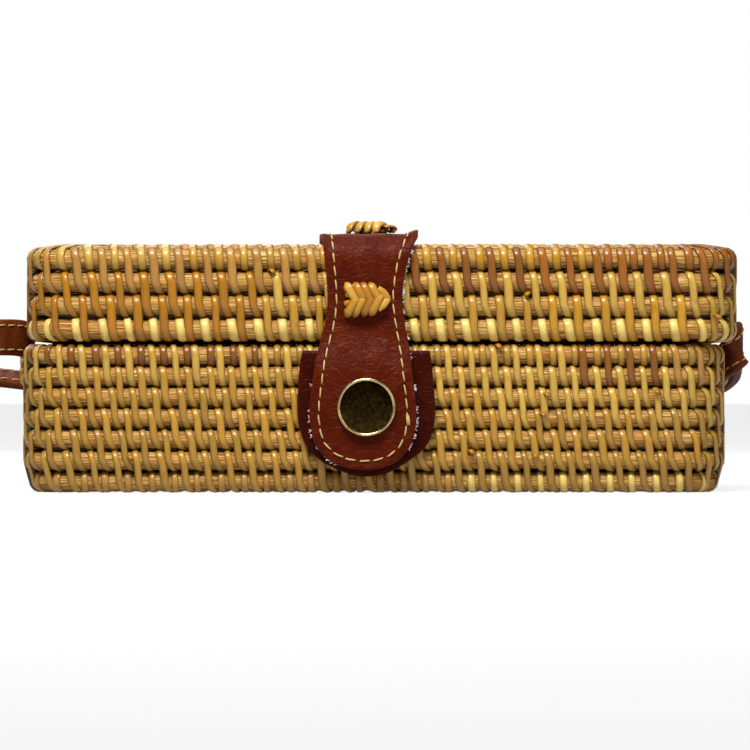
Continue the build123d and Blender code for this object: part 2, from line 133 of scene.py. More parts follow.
class MeshParts:
    """Gathers swept and gridded parts, each with UVs in millimetres and a tint, for one object."""

    def __init__(self):
        self.points, self.quads, self.polygons, self.uvs, self.tints = [], [], [], [], []
        self.total = 0

    def add(self, points, quads, uvs, tint, polygons=()):
        count = len(points)
        self.points.append(np.asarray(points, float))
        self.quads.append(np.asarray(quads, int).reshape(-1, 4) + self.total)
        self.polygons.extend([[i + self.total for i in p] for p in polygons])
        self.uvs.append(np.asarray(uvs, float))
        self.tints.append(np.broadcast_to(np.asarray(tint, float), (count, 3)))
        self.total += count

    def sweep(self, path, sides, ups, section, tint, wide=1.0, tall=1.0, closed=False, uv_start=0.0):
        """Carries the section (across, up) along the path. The tint may differ at each point."""
        n, m = len(path), len(section)
        across = section[None, :, 0, None] * np.broadcast_to(wide, n)[:, None, None]
        up = section[None, :, 1, None] * np.broadcast_to(tall, n)[:, None, None]
        points = path[:, None] + sides[:, None] * across + ups[:, None] * up
        along = lengths_along(path) + uv_start
        uvs = np.stack([np.repeat(along, m), np.tile(np.arange(m) / (m - 1), n)], axis=1)
        caps = () if closed else (list(range(m))[::-1], list(range((n - 1) * m, n * m)))
        self.add(points.reshape(-1, 3), grid_quads(n, m, closed, True), uvs, tint, caps)

    def lay(self, path, up, section, tint, wide=1.0, tall=1.0, uv_start=0.0, closed=False):
        """Sweeps the section with its upper side turned to the up direction."""
        path = np.asarray(path, float)
        sides, ups = path_frame(path, up, closed)
        self.sweep(path, sides, ups, section, tint, wide, tall, closed, uv_start)

    def make(self, name, material, shift=(0, 0, 0), flat=False):
        """The object. Along a swept part the first UV is in millimetres, and on a flat part both are."""
        points = (np.concatenate(self.points) + np.array(shift)) * MM
        mesh = bpy.data.meshes.new(name)
        mesh.from_pydata(points.tolist(), [], np.concatenate(self.quads).tolist() + self.polygons)
        corners = np.empty(len(mesh.loops), np.int32)
        mesh.loops.foreach_get("vertex_index", corners)
        uvs = np.concatenate(self.uvs) * (UV_PER_MM, UV_PER_MM if flat else 1)
        layer = mesh.uv_layers.new(name="UVMap")
        layer.data.foreach_set("uv", uvs[corners].astype(np.float32).ravel())
        colours = np.ones((len(points), 4), np.float32)
        colours[:, :3] = np.concatenate(self.tints)
        tint = mesh.color_attributes.new("Tint", "FLOAT_COLOR", "POINT")
        tint.data.foreach_set("color", colours.ravel())
        work = bmesh.new()
        work.from_mesh(mesh)
        bmesh.ops.recalc_face_normals(work, faces=work.faces)
        work.to_mesh(mesh)
        work.free()
        mesh.polygons.foreach_set("use_smooth", [True] * len(mesh.polygons))
        mesh.materials.append(material)
        return add_to_scene(bpy.data.objects.new(name, mesh))


def round_section(sides, radius=1.0, start=0.0):
    turn = start + np.arange(sides) * 2 * math.pi / sides
    return np.stack([np.cos(turn), np.sin(turn)], axis=1) * radius


def ride(body, slot, *pieces):
    for piece in pieces:
        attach(piece, body)


# ---- Materials ----
def srgb(red, green, blue):
    """A linear colour from the usual 0 to 255 values."""
    def part(value):
        value /= 255
        return value / 12.92 if value <= 0.04045 else ((value + 0.055) / 1.055) ** 2.4
    return part(red), part(green), part(blue)


class Paint:
    """A node material being made."""

    def __init__(self, name):
        self.material = bpy.data.materials.new(name)
        self.material.use_nodes = True
        self.tree = self.material.node_tree
        self.shader = self.tree.nodes["Principled BSDF"]

    def put(self, socket, value):
        if isinstance(value, bpy.types.NodeSocket):
            self.tree.links.new(value, socket)
        elif hasattr(value, "__len__") and len(value) == 3 and socket.type == "RGBA":
            socket.default_value = (*value, 1)
        else:
            socket.default_value = value

    def set(self, **values):
        for name, value in values.items():
            self.put(self.shader.inputs[name.replace("_", " ")], value)

    def node(self, kind, *first, **named):
        """A new node, with its first sockets given in order and others by name."""
        node = self.tree.nodes.new("ShaderNode" + kind)
        for socket, value in zip(node.inputs, first):
            self.put(socket, value)
        for name, value in named.items():
            self.put(node.inputs[name], value)
        return node

    def mapped(self, vector, scale, angle=0.0):
        return self.node("Mapping", vector, Rotation=(0, 0, angle), Scale=scale).outputs[0]

    def uv(self, *scale):
        coordinates = self.node("UVMap")
        coordinates.uv_map = "UVMap"
        return self.mapped(coordinates.outputs[0], (*scale, 1))

    def place(self):
        return self.node("TexCoord").outputs["Object"]

    def tint(self):
        node = self.node("VertexColor")
        node.layer_name = "Tint"
        return node.outputs["Color"]

    def noise(self, vector, scale, detail, roughness=0.5, distortion=0.0, output="Fac"):
        node = self.node("TexNoise", vector, Scale=scale, Detail=detail, Roughness=roughness,
                         Distortion=distortion)
        return node.outputs[output]

    def cells(self, vector, scale):
        """The distance to the nearest edge between irregular cells."""
        node = self.node("TexVoronoi", vector, Scale=scale)
        node.feature = "DISTANCE_TO_EDGE"
        return node.outputs["Distance"]

    def waves(self, vector, scale, distortion, direction):
        node = self.node("TexWave", vector, Scale=scale, Distortion=distortion)
        node.bands_direction = direction
        return node.outputs["Fac"]

    def ramp(self, value, *stops):
        node = self.node("ValToRGB", value)
        elements = node.color_ramp.elements
        while len(elements) < len(stops):
            elements.new(1.0)
        for element, (place, colour) in zip(elements, stops):
            element.position = place
            colour = (colour,) * 3 if not hasattr(colour, "__len__") else colour
            element.color = (*colour, 1)
        return node.outputs[0]

    def mix(self, share, first, second, blend="MIX"):
        node = self.node("Mix")
        node.data_type = "RGBA"
        node.blend_type = blend
        for i, value in ((0, share), (6, first), (7, second)):
            self.put(node.inputs[i], value)
        return node.outputs[2]

    def maths(self, operation, total, *values):
        for value in values:
            node = self.node("Math", total, value)
            node.operation = operation
            total = node.outputs[0]
        return total

    def add(self, *values):
        return self.maths("ADD", *values)

    def times(self, *values):
        return self.maths("MULTIPLY", *values)

    def bump(self, height, strength, distance):
        return self.node("Bump", Height=height, Strength=strength, Distance=distance).outputs[0]


def cane_material():
    """Split cane: each strip's own tint with its painted shade, fine lengthwise fibres and a soft varnish."""
    paint = Paint("split_cane")
    fibres = paint.noise(paint.uv(12, 9), 3.0, 4.0, 0.6)
    blotches = paint.noise(paint.place(), 240.0, 2.0)
    shade = paint.ramp(fibres, (0.25, 0.6), (0.48, 0.95), (0.75, 1.15))
    # The tint holds each strip's own colour and its painted shade and highlight.
    colour = paint.mix(1.0, paint.tint(), shade, "MULTIPLY")
    colour = paint.mix(paint.ramp(blotches, (0.55, 0.0), (0.8, 0.35)), colour, srgb(132, 82, 22))
    paint.set(Base_Color=colour, Roughness=paint.ramp(fibres, (0.2, 0.46), (0.8, 0.3)),
              Specular_IOR_Level=0.3, Coat_Weight=0.6, Coat_Roughness=0.2,
              Normal=paint.bump(fibres, 0.35, 0.0002))
    return paint.material


def rod_material():
    """Whole rattan rod: pale, with dark lengthwise grain and broken bright fibres."""
    paint = Paint("rattan_rod")
    grain = paint.noise(paint.uv(3.2, 14), 3.0, 4.0, 0.6)
    fine = paint.noise(paint.uv(5, 34), 3.0, 3.0, 0.55)
    patches = paint.noise(paint.place(), 60.0, 2.0)
    colour = paint.ramp(grain, (0.35, srgb(116, 68, 14)), (0.43, srgb(182, 126, 46)),
                        (0.54, srgb(212, 162, 78)), (0.66, srgb(250, 214, 138)))
    colour = paint.mix(1.0, colour, paint.ramp(fine, (0.36, 0.3), (0.48, 1.0)), "MULTIPLY")
    # The tint is painted shade, darker where the rod turns into the gaps.
    colour = paint.mix(1.0, colour, paint.tint(), "MULTIPLY")
    warmth = paint.ramp(patches, (0.45, 0.0), (0.75, 0.5))
    colour = paint.mix(warmth, colour, srgb(222, 172, 96), "MULTIPLY")
    height = paint.add(grain, paint.times(fine, 0.7))
    paint.set(Base_Color=colour, Roughness=paint.ramp(grain, (0.2, 0.6), (0.8, 0.4)),
              Specular_IOR_Level=0.25, Normal=paint.bump(height, 0.7, 0.0003))
    return paint.material


def leather_material(name, dark, light, scuff, crease_scale):
    """Grained leather. The tint carries the distance to the edge, the flesh side and wear."""
    paint = Paint(name)
    edge, flesh, wear = paint.node("SeparateColor", paint.tint()).outputs[:3]
    surface = paint.uv(1, 1)
    bent = paint.mix(0.05, surface, paint.noise(surface, 24.0, 2.0, output="Color"))
    folds = paint.cells(paint.mapped(bent, (1.0, 2.1, 1.0), math.radians(32)), crease_scale)
    creases = paint.cells(bent, crease_scale * 2.2)
    pebbles = paint.cells(surface, 130.0)
    mottle = paint.noise(surface, 16.0, 4.0, 0.6, 0.6)
    fine = paint.noise(surface, 260.0, 2.0)
    colour = paint.mix(paint.ramp(mottle, (0.3, 0.0), (0.7, 1.0)), dark, light)
    worn = paint.times(paint.ramp(creases, (0.0, 0.35), (0.04, 0.0)),
                       paint.ramp(mottle, (0.45, 0.0), (0.6, 1.0)))
    lines = paint.add(paint.ramp(folds, (0.0, 0.7), (0.03, 0.0)), worn)
    colour = paint.mix(paint.times(lines, wear, paint.ramp(mottle, (0.45, 0.05), (0.65, 0.6))), colour, scuff)
    raw = paint.ramp(edge, (0.0, 1.0), (0.02, 0.3), (0.045, 0.0))
    colour = paint.mix(paint.times(raw, 0.4), colour, scuff)
    colour = paint.mix(flesh, colour, srgb(150, 104, 72))
    height = paint.add(paint.ramp(pebbles, (0.0, 0.0), (0.25, 0.35)),
                       paint.times(paint.ramp(folds, (0.0, 0.0), (0.09, 1.0)), paint.add(wear, 0.3)),
                       paint.times(fine, 0.2), paint.ramp(creases, (0.0, 0.0), (0.1, 0.5)))
    rough = paint.ramp(mottle, (0.3, 0.4), (0.7, 0.3))
    paint.set(Base_Color=colour, Roughness=paint.mix(flesh, rough, (0.9, 0.9, 0.9)),
              Specular_IOR_Level=0.06, Normal=paint.bump(height, 0.5, 0.00016))
    return paint.material


def thread_material():
    """Two-ply thread: slanting plies."""
    paint = Paint("thread")
    plies = paint.waves(paint.uv(60, 1.4), 1.6, 0.4, "DIAGONAL")
    paint.set(Base_Color=paint.mix(plies, srgb(170, 130, 60), srgb(246, 220, 146)), Roughness=0.6,
              Normal=paint.bump(plies, 0.5, 0.0002))
    return paint.material


def plain_material(name, dark, light, scale, roughness, metallic=0.0, bump=0.0):
    """A surface with a fine mottle, for metal and fuzz."""
    paint = Paint(name)
    mottle = paint.noise(paint.place(), scale, 4.0, 0.6)
    paint.set(Base_Color=paint.mix(paint.ramp(mottle, (0.35, 0.0), (0.65, 1.0)), dark, light),
              Roughness=paint.ramp(mottle, (0.3, roughness * 0.8), (0.7, roughness * 1.25)),
              Metallic=metallic)
    if bump:
        paint.set(Normal=paint.bump(mottle, bump, 0.0001))
    return paint.material


def cloth_material():
    """Plain woven cotton."""
    paint = Paint("lining_cotton")
    over, under, upright = (paint.waves(paint.place(), 700.0, 0.6, way) for way in "XYZ")
    weave = paint.times(paint.add(over, under), paint.add(upright, 0.4))
    slubs = paint.ramp(paint.noise(paint.place(), 90.0, 4.0, 0.6), (0.35, 0.0), (0.7, 1.0))
    paint.set(Base_Color=paint.mix(slubs, srgb(205, 190, 160), srgb(228, 216, 190)), Roughness=0.9,
              Normal=paint.bump(weave, 0.35, 0.0003))
    return paint.material


CANE = cane_material()
ROD = rod_material()
FLAP_LEATHER = leather_material("flap_leather", srgb(74, 15, 0), srgb(90, 27, 5), srgb(140, 72, 38), 22.0)
# The tab's leather is the flap's leather, darker by a painted shade for the flap's shadow over the tab.
TAB_SHADED_LEATHER = leather_material("tab_leather", srgb(54, 7, 0), srgb(66, 15, 1), srgb(104, 48, 28), 26.0)
STRAP_LEATHER = leather_material("strap_leather", srgb(86, 34, 10), srgb(114, 56, 26), srgb(140, 88, 56),
                                 24.0)
THREAD = thread_material()
FUZZ = plain_material("edge_fuzz", srgb(205, 190, 195), srgb(240, 235, 240), 300.0, 0.8)
BRASS = plain_material("brass", srgb(205, 170, 110), srgb(240, 215, 160), 350.0, 0.22, 1.0, 0.05)
# The cap's brass face, coloured dark as a painted dark reflection.
DARK_REFLECTION_BRASS = plain_material("brass_face_dark_reflection", srgb(40, 28, 8), srgb(74, 58, 26), 900.0, 0.16, 1.0, 0.03)
COTTON = cloth_material()

# ---- Strap: one cord from the left tie, twice round behind the bag, to the right tie ----
STRAP_WIDTH = 10.4
STRAP_THICKNESS = 2.6
STRAP_LEFT_ROUTE = (
    (-99.9, 43, 35.2), (-99.9, 31, 35.3), (-99.9, 21, 38.4), (-99.9, 11, 42.2), (-101.2, 1.5, 43.6),
    (-109, -5.5, 43.6), (-120, -5.5, 43.2), (-130.5, 4, 43.4), (-135.5, 24, 42), (-134.5, 50, 38),
    (-126, 72, 34), (-109, 84, 31.6), (-88, 88.6, 29.6), (-66, 88.4, 20), (-46, 86, 10.6), (-25, 83.4, 6),
)
STRAP_RIGHT_ROUTE = (
    (99.9, 43, 35.2), (99.9, 32, 35.3), (99.9, 24, 35.4), (100.4, 16, 36), (102.5, 10.5, 37.8),
    (104.6, 9.5, 40.2), (105.6, 13, 42.2), (105.7, 22, 43.2), (105.7, 34, 43), (106.2, 48, 40.8),
    (108.2, 66, 36), (101, 85.5, 30.8), (80, 90.5, 27.6), (52, 87.4, 26.9), (26, 83.5, 26.9),
)
COIL_CENTRE = (0, 135)
COIL_RADIUS = 50
COIL_LOW_Z = 5.5
COIL_PITCH = 10.8
COIL_TURNS = 2
COIL_POINTS = 14


def coil_route():
    """The turns, from the coil's front and back to it."""
    spread = COIL_RADIUS / math.cos(math.pi / COIL_POINTS)
    points = []
    for i in range(COIL_TURNS * COIL_POINTS + 1):
        turn = i / COIL_POINTS
        angle = 2 * math.pi * turn - math.pi / 2
        points.append((COIL_CENTRE[0] + spread * math.cos(angle), COIL_CENTRE[1] + spread * math.sin(angle),
                       COIL_LOW_Z + COIL_PITCH * turn))
    return tuple(points)


def strap_line():
    """Points read from the smooth curve that the route controls."""
    route = STRAP_LEFT_ROUTE + coil_route() + STRAP_RIGHT_ROUTE[::-1]
    curve = bpy.data.curves.new("strap_line", "CURVE")
    curve.dimensions = "3D"
    curve.resolution_u = 12
    spline = curve.splines.new("NURBS")
    spline.points.add(len(route) - 1)
    for point, place in zip(spline.points, route):
        point.co = (*(v * MM for v in place), 1)
    spline.order_u = 3
    spline.use_endpoint_u = True
    holder = add_to_scene(bpy.data.objects.new("strap_line", curve))
    mesh = bpy.data.meshes.new_from_object(holder)
    points = np.array([v.co[:] for v in mesh.vertices]) / MM
    bpy.data.objects.remove(holder)
    moved = np.linalg.norm(np.diff(points, axis=0), axis=1) > 0.01
    return points[np.concatenate([[True], moved])]


STRAP_SECTION = np.array([(-0.5, -0.3), (-0.46, -0.46), (-0.2, -0.5), (0.2, -0.5), (0.46, -0.46),
                          (0.5, -0.3), (0.5, 0.3), (0.46, 0.44), (0.2, 0.5), (0.0, 0.51), (-0.2, 0.5),
                          (-0.46, 0.44), (-0.5, 0.3)])
STRAP_EDGE = 0.8                   # the strip of the strap's edge that counts as raw
STRAP_LEAN = math.radians(-66)     # the strap lies over where it comes back behind the bag
STRAP_LEAN_IN = (125, 165)         # along the strap, from the left tie
STRAP_LEAN_OUT = (200, 245)
STITCH_INSET = 1.7
STITCH_HEIGHTS = np.array([-0.18, 0.1, 0.17, 0.17, 0.1, -0.18]) / 0.26      # shares of the thread's radius
STITCH_WIDTHS = np.array([0.5, 0.9, 1.0, 1.0, 0.9, 0.5])
THREAD_SECTION = round_section(6)
UV_RUN = 400       # how far a strip's grain may start from its neighbour's


def at_stations(stations, along, values):
    return np.stack([np.interp(stations, along, values[:, k]) for k in range(3)], axis=1)


def stitch_along(parts, line, normals, pitch, length, radius, slant=0.0, jitter=0.0):
    """Separate stitches along a line that lies on a surface."""
    along = lengths_along(line)
    for i in range(int((along[-1] - length) / pitch) + 1):
        start = i * pitch + rng.uniform(-jitter, jitter)
        stations = np.linspace(start, start + length, len(STITCH_HEIGHTS)).clip(0, along[-1])
        path = at_stations(stations, along, line)
        sides, ups = path_frame(path, unit(at_stations(stations, along, normals)))
        path = path + ups * STITCH_HEIGHTS[:, None] * radius
        path = path + sides * np.linspace(-slant, slant, len(path))[:, None]
        widths = STITCH_WIDTHS * radius
        parts.sweep(path, sides, ups, THREAD_SECTION, (1, 1, 1), widths, widths, uv_start=rng.uniform(0, 20))


def make_strap():
    line = strap_line()
    along = unit(np.gradient(line, axis=0))
    upright = unit(np.array([0, 0, 1.0]) - along * along[:, 2:3])
    level = unit(np.cross(along, upright))
    run = lengths_along(line)
    lean = STRAP_LEAN * smooth_step(run, *STRAP_LEAN_IN) * (1 - smooth_step(run, *STRAP_LEAN_OUT))
    cos, sin = np.cos(lean)[:, None], np.sin(lean)[:, None]
    up = upright * cos + level * sin
    outward = level * cos - upright * sin
    parts = MeshParts()
    from_edge = STRAP_WIDTH * (0.5 - np.abs(STRAP_SECTION[:, 0]))
    tints = [(inset / 10 if inset > STRAP_EDGE else 0.03, 0.0, 0.4) for inset in from_edge]
    tints = np.tile(tints, (len(line), 1))
    parts.sweep(line, up, outward, STRAP_SECTION, tints, STRAP_WIDTH, STRAP_THICKNESS)
    parts.uvs[0][:, 1] *= 2 * STRAP_WIDTH
    strap = parts.make("shoulder_strap", STRAP_LEATHER, flat=True)
    stitches = MeshParts()
    for side in (-1, 1):
        for face in (-1, 1):
            row = line + up * side * (STRAP_WIDTH / 2 - STITCH_INSET) + outward * face * STRAP_THICKNESS * 0.5
            stitch_along(stitches, row, outward * face, 3.6, 2.9, 0.22, 0.05)
    thread = stitches.make("strap_stitches", THREAD)
    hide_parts("strap_left", "strap_coil", "strap_right")
    ride("base", "strap_leather", strap, thread)


make_strap()

# ---- Weave ----
BASE_HALF = (98.3, 69.0)
LID_HALF = (99.45, 70.0)
LID_SHIFT = (2.2, 0, 0)
CORNER = 16.5
CORE_RADIUS = 3.0
BASE_ROD, BASE_CANE, BASE_FACE_ROD = 2.65, 0.5, 2.8
LID_ROD, LID_CANE, LID_FACE_ROD = 2.88, 0.56, 2.72
BASE_ROWS_Z = [38.35 - 5.858 * i for i in range(7)]
LID_ROWS_Z = [65.1 - 6.53 * i for i in range(4)]
LID_FACE_Z = 66.15
BASE_FACE_Z = 3.35
BASE_TURN_IN = 1.6       # the lowest rod sits this far inside the others
FACE_RINGS = 10
FACE_PITCH, FACE_LEAN = 6.9, 1.6
CANE_SECTION = np.array([(-0.5, -0.4), (-0.47, 0.05), (-0.28, 0.4), (0.0, 0.52), (0.28, 0.4), (0.47, 0.05),
                         (0.5, -0.4)])
# Painted shade at a strip's edges and a faint painted highlight along its middle, across its section.
STRIP_SHADE_AND_HIGHLIGHT = np.array([0.35, 0.62, 0.95, 1.08, 0.95, 0.62, 0.35])
# The rods' painted shade at its darkest, deep in the gaps between rods.
GAP_PAINTED_SHADE = 0.1
ROD_SIDES = 12

STRAW = srgb(190, 140, 42)
PALE_STRAW = srgb(208, 164, 66)
CREAM = srgb(238, 202, 104)
OLIVE_STRAW = srgb(178, 132, 42)
OCHRE = srgb(178, 116, 4)
GOLD = srgb(196, 140, 26)
TAN = srgb(186, 134, 56)
BROWN = srgb(140, 82, 10)
ORANGE_BROWN = srgb(158, 92, 8)
PALETTE = (STRAW, PALE_STRAW, PALE_STRAW, OLIVE_STRAW, GOLD, STRAW, TAN, CREAM)


class Ring:
    """One rod laid round a rounded rectangle, inset from the basket's outside."""

    def __init__(self, half, inset, z, rod):
        self.inset, self.z, self.rod = inset, z, rod
        self.corner = max(CORNER - inset, CORE_RADIUS)
        self.core = (half[0] - inset - self.corner, max(half[1] - inset - self.corner, 0.0))
        self.arc = math.pi / 2 * self.corner
        self.length = 4 * (self.core[0] + self.core[1]) + 4 * self.arc

    def closest(self, x, y):
        """The point of the ring nearest to a place outside its core, and the outward direction."""
        cx, cy = self.core
        qx, qy = min(max(x, -cx), cx), min(max(y, -cy), cy)
        dx, dy = x - qx, y - qy
        size = math.hypot(dx, dy) or 1.0
        dx, dy = dx / size, dy / size
        return qx + self.corner * dx, qy + self.corner * dy, dx, dy

    def at(self, s):
        """The point s along the ring from its front centre towards +X, and the outward direction."""
        cx, cy = self.core
        s = s % self.length
        runs = ((cx, (0, -cy), (1, 0)), (self.arc, (cx, -cy), -90), (2 * cy, (cx, -cy), (0, 1)),
                (self.arc, (cx, cy), 0), (2 * cx, (cx, cy), (-1, 0)), (self.arc, (-cx, cy), 90),
                (2 * cy, (-cx, cy), (0, -1)), (self.arc, (-cx, -cy), 180), (cx, (-cx, -cy), (1, 0)))
        for run, (x, y), way in runs:
            if s <= run:
                break
            s -= run
        if isinstance(way, tuple):
            dx, dy = way[1], -way[0]
            return x + way[0] * s + dx * self.corner, y + way[1] * s + dy * self.corner, dx, dy
        turn = math.radians(way) + s / self.corner
        dx, dy = math.cos(turn), math.sin(turn)
        return x + dx * self.corner, y + dy * self.corner, dx, dy


def gap_shade(section, count):
    """A rod's tint: painted shade that darkens into the gaps, away from its shown side."""
    level = GAP_PAINTED_SHADE + (1 - GAP_PAINTED_SHADE) * smooth_step(section[:, 1], -0.1, 0.85)
    return np.tile(np.repeat(level[:, None], 3, axis=1), (count, 1))


def lay_rod(parts, ring, outward, seed):
    """The rod itself, with a slight waver. outward is the rod's shown side: (out, up)."""
    path, outs, s = [], [], 0.0
    while s < ring.length - 1.0:
        x, y, dx, dy = ring.at(s)
        phase = 2 * math.pi * s / ring.length
        waver = 0.12 * math.sin(3 * phase + seed) + 0.07 * math.sin(11 * phase + 2.3 * seed)
        path.append((x, y, ring.z + waver * abs(outward[0])))
        outs.append((dx, dy, 0))
        straight = abs(dx) < 1e-6 or abs(dy) < 1e-6
        s += 5.0 if straight else max(ring.corner * math.radians(13), 0.6)
    path, outs, up = np.array(path), np.array(outs), np.array([0, 0, 1.0])
    section = round_section(ROD_SIDES, ring.rod, -math.pi / 2)
    # The tint is painted shade, darker towards the gaps above and below the rod.
    parts.sweep(path, outs * outward[1] - up * outward[0], outs * outward[0] + up * outward[1], section,
                gap_shade(section / ring.rod, len(path)), closed=True, uv_start=seed * 37.0)


# Angles round the first and second rod of a set, in degrees from the shown side.
FIRST, SECOND = (-100, -72, -44, -18, 8), (-8, 18, 44, 72, 100)
STRIP_ANGLES = {
    "wall": (FIRST, SECOND),
    "over_edge": (FIRST, SECOND + (125, 150, 172)),
    "under_edge": ((-172, -150, -125) + FIRST, SECOND),
    "from_rim": ((-205, -175, -140, -105) + FIRST[1:], SECOND),
    "to_rim": (FIRST, SECOND[:-1] + (105, 140, 175, 205)),
}
# The same for a rim's short wraps, which go round a single rod.
WRAP_ANGLES = {
    "from_rim": ((-205, -175, -140, -105, -72, -44, -18), (8, 34, 60, 84, 105)),
    "to_rim": ((-100, -76, -50, -24, 2), (28, 54, 80, 105, 140, 175, 205)),
}


def cane_path(a, b, s, lean, angles, lift):
    """A strip's line over rod a and then rod b, with its outward directions."""
    outer = a if a.length >= b.length else b
    x0, y0, dx0, dy0 = outer.at(s)
    run = np.array([b.inset - a.inset, a.z - b.z], float)
    size = np.linalg.norm(run) or 1.0
    down = (-run[0] / size, -run[1] / size) if a is not b else (0.0, -1.0)
    out = (-down[1], down[0])
    steps = [(a, v) for v in angles[0]] + [(b, v) for v in angles[1]]
    points, normals = [], []
    for i, (ring, angle) in enumerate(steps):
        shift = lean * (i / (len(steps) - 1)) ** 1.7
        x, y, mx, my = ring.closest(x0 - dy0 * shift, y0 + dx0 * shift)
        cos, sin = math.cos(math.radians(angle)), math.sin(math.radians(angle))
        flat = out[0] * cos + down[0] * sin
        tall = out[1] * cos + down[1] * sin
        reach = ring.rod + lift
        points.append((x + mx * flat * reach, y + my * flat * reach, ring.z + tall * reach))
        normals.append((mx * flat, my * flat, tall))
    return np.array(points), np.array(normals)


def strip_shade(tint, count):
    """The strip's tint, with painted shade at its edges and tucked ends and a faint painted highlight
    mid-strip.
    """
    ends = np.ones(count)
    # Painted shade where the strip's ends tuck into the gaps.
    ends[[0, -1]], ends[[1, -2]] = 0.22, 0.62
    level = ends[:, None] * STRIP_SHADE_AND_HIGHLIGHT[None, :]
    return level.reshape(-1, 1) * np.array(tint)


def lay_strip(parts, a, b, s, lean, angles, width, thickness, tint):
    points, normals = cane_path(a, b, s, lean, angles, thickness * 0.5)
    parts.lay(points, normals, CANE_SECTION, strip_shade(tint, len(points)), width, thickness * 1.15,
              rng.uniform(0, UV_RUN))


def shaded(tint, spread=0.09):
    light = 1 + rng.uniform(-spread, spread)
    warm = rng.uniform(-spread, spread) * 0.35
    return tuple(max(0.0, c * light * (1 + warm * k)) for c, k in zip(tint, (0.4, 0.0, -1.0)))


def batch_tints(count):
    """A tint for each strip of a set, in random runs, as bundles of cane are used up."""
    tints, left = [], 0
    for _ in range(count):
        if left <= 0:
            left, tint = rng.randint(9, 26), rng.choice(PALETTE)
        left -= 1
        tints.append(tint)
    return tints


def band_at(bands, x, y, fallback):
    """The tint seen on the front at x. Each band gives its right-hand limit and tint."""
    for limit, tint in bands:
        if y <= 0 and x <= limit:
            return tint
    return fallback


def lay_set(parts, a, b, phase, pitch, width, thickness, lean, bands=(), kind="wall"):
    """One round of strips over rods a and b, which are the same rod for a rim's short wraps."""
    outer = a if a.length >= b.length else b
    count = max(round(outer.length / pitch), 6)
    angles = (WRAP_ANGLES if a is b else STRIP_ANGLES)[kind]
    for i, tint in enumerate(batch_tints(count)):
        s = phase + i * outer.length / count + rng.uniform(-0.35, 0.35)
        x, y = outer.at(s)[:2]
        tint = shaded(band_at(bands, x, y, tint))
        lay_strip(parts, a, b, s, lean * rng.uniform(0.75, 1.25), angles, width * rng.uniform(0.88, 1.12),
                  thickness, tint)


BACK_SHARE = (0.338, 0.662)       # where the rim's close wraps start and end round its length
BACK_PITCH = 1.5


class Basket:
    """One basket being woven. Its face is the lid's top or the base's underside."""

    def __init__(self, half, rows, pitch, width, cane, face_inset, face_z, face_rod, up):
        self.half, self.rows, self.up = half, rows, up
        self.pitch, self.width, self.cane = pitch, width, cane
        step = (half[1] - face_inset) / FACE_RINGS
        self.face = [Ring(half, face_inset + step * i, face_z, face_rod) for i in range(FACE_RINGS)]
        self.rods, self.walls, self.strips = MeshParts(), MeshParts(), MeshParts()

    def lay_rods(self, row_seed_step, row_seed, face_seed_step, face_seed):
        for i, ring in enumerate(self.rows):
            lay_rod(self.rods, ring, (1, 0), row_seed_step * i + row_seed)
        for i, ring in enumerate(self.face):
            lay_rod(self.rods, ring, (0, self.up), face_seed_step * i + face_seed)
        reach = self.half[0] - self.half[1] + ring.rod
        centre = [(x, 0.0, ring.z) for x in np.linspace(-reach, reach, 16)]
        section = round_section(ROD_SIDES, ring.rod, -math.pi / 2)
        # The centre rod, with the same painted shade towards the gaps.
        self.rods.lay(centre, (0, 0, self.up), section, gap_shade(section / ring.rod, len(centre)))

    def wall(self, a, b, phase, lean, bands=(), kind="wall", wide=1.0):
        lay_set(self.walls, a, b, phase, self.pitch, self.width * wide, self.cane, lean, bands, kind)

    def close_back(self, ring, kind, width, thickness):
        """Thicker wraps packed close along the back of a rim, under the hinge ties."""
        s, end = (ring.length * share for share in BACK_SHARE)
        while s < end:
            lay_strip(self.walls, ring, ring, s, 0.3, WRAP_ANGLES[kind], width, thickness, shaded(STRAW))
            s += BACK_PITCH

    def weave_face(self, turn, width):
        """Strips over each pair of the face's rods, then over its centre rod."""
        for i, pair in enumerate(zip(self.face, self.face[1:])):
            a, b = pair[::-self.up]
            lay_set(self.strips, a, b, turn * i, FACE_PITCH, width, self.cane, FACE_LEAN)
        ring = self.face[-1]
        reach, span = self.half[0] - self.half[1], ring.corner + ring.core[1]
        for side in (-1, 1):
            x = -reach + (1.5 if side > 0 else 4.5)
            while x < reach:
                path = []
                for t in np.linspace(-0.4, span + 0.6 * ring.rod, 9):
                    bulge = math.cos(math.pi * min(t / span, 1.0) * 2)
                    height = ring.rod + self.cane * 0.5 - 0.55 * (1 - bulge) * 0.5
                    path.append((x + 0.12 * t, side * t, ring.z + self.up * height))
                path[-1] = (path[-1][0], path[-1][1] + side * 0.6, ring.z + self.up * ring.rod * 0.3)
                self.strips.lay(path, (0, 0, self.up), CANE_SECTION, shaded(STRAW), 2.2, self.cane * 1.15,
                                rng.uniform(0, UV_RUN))
                x += 6.4


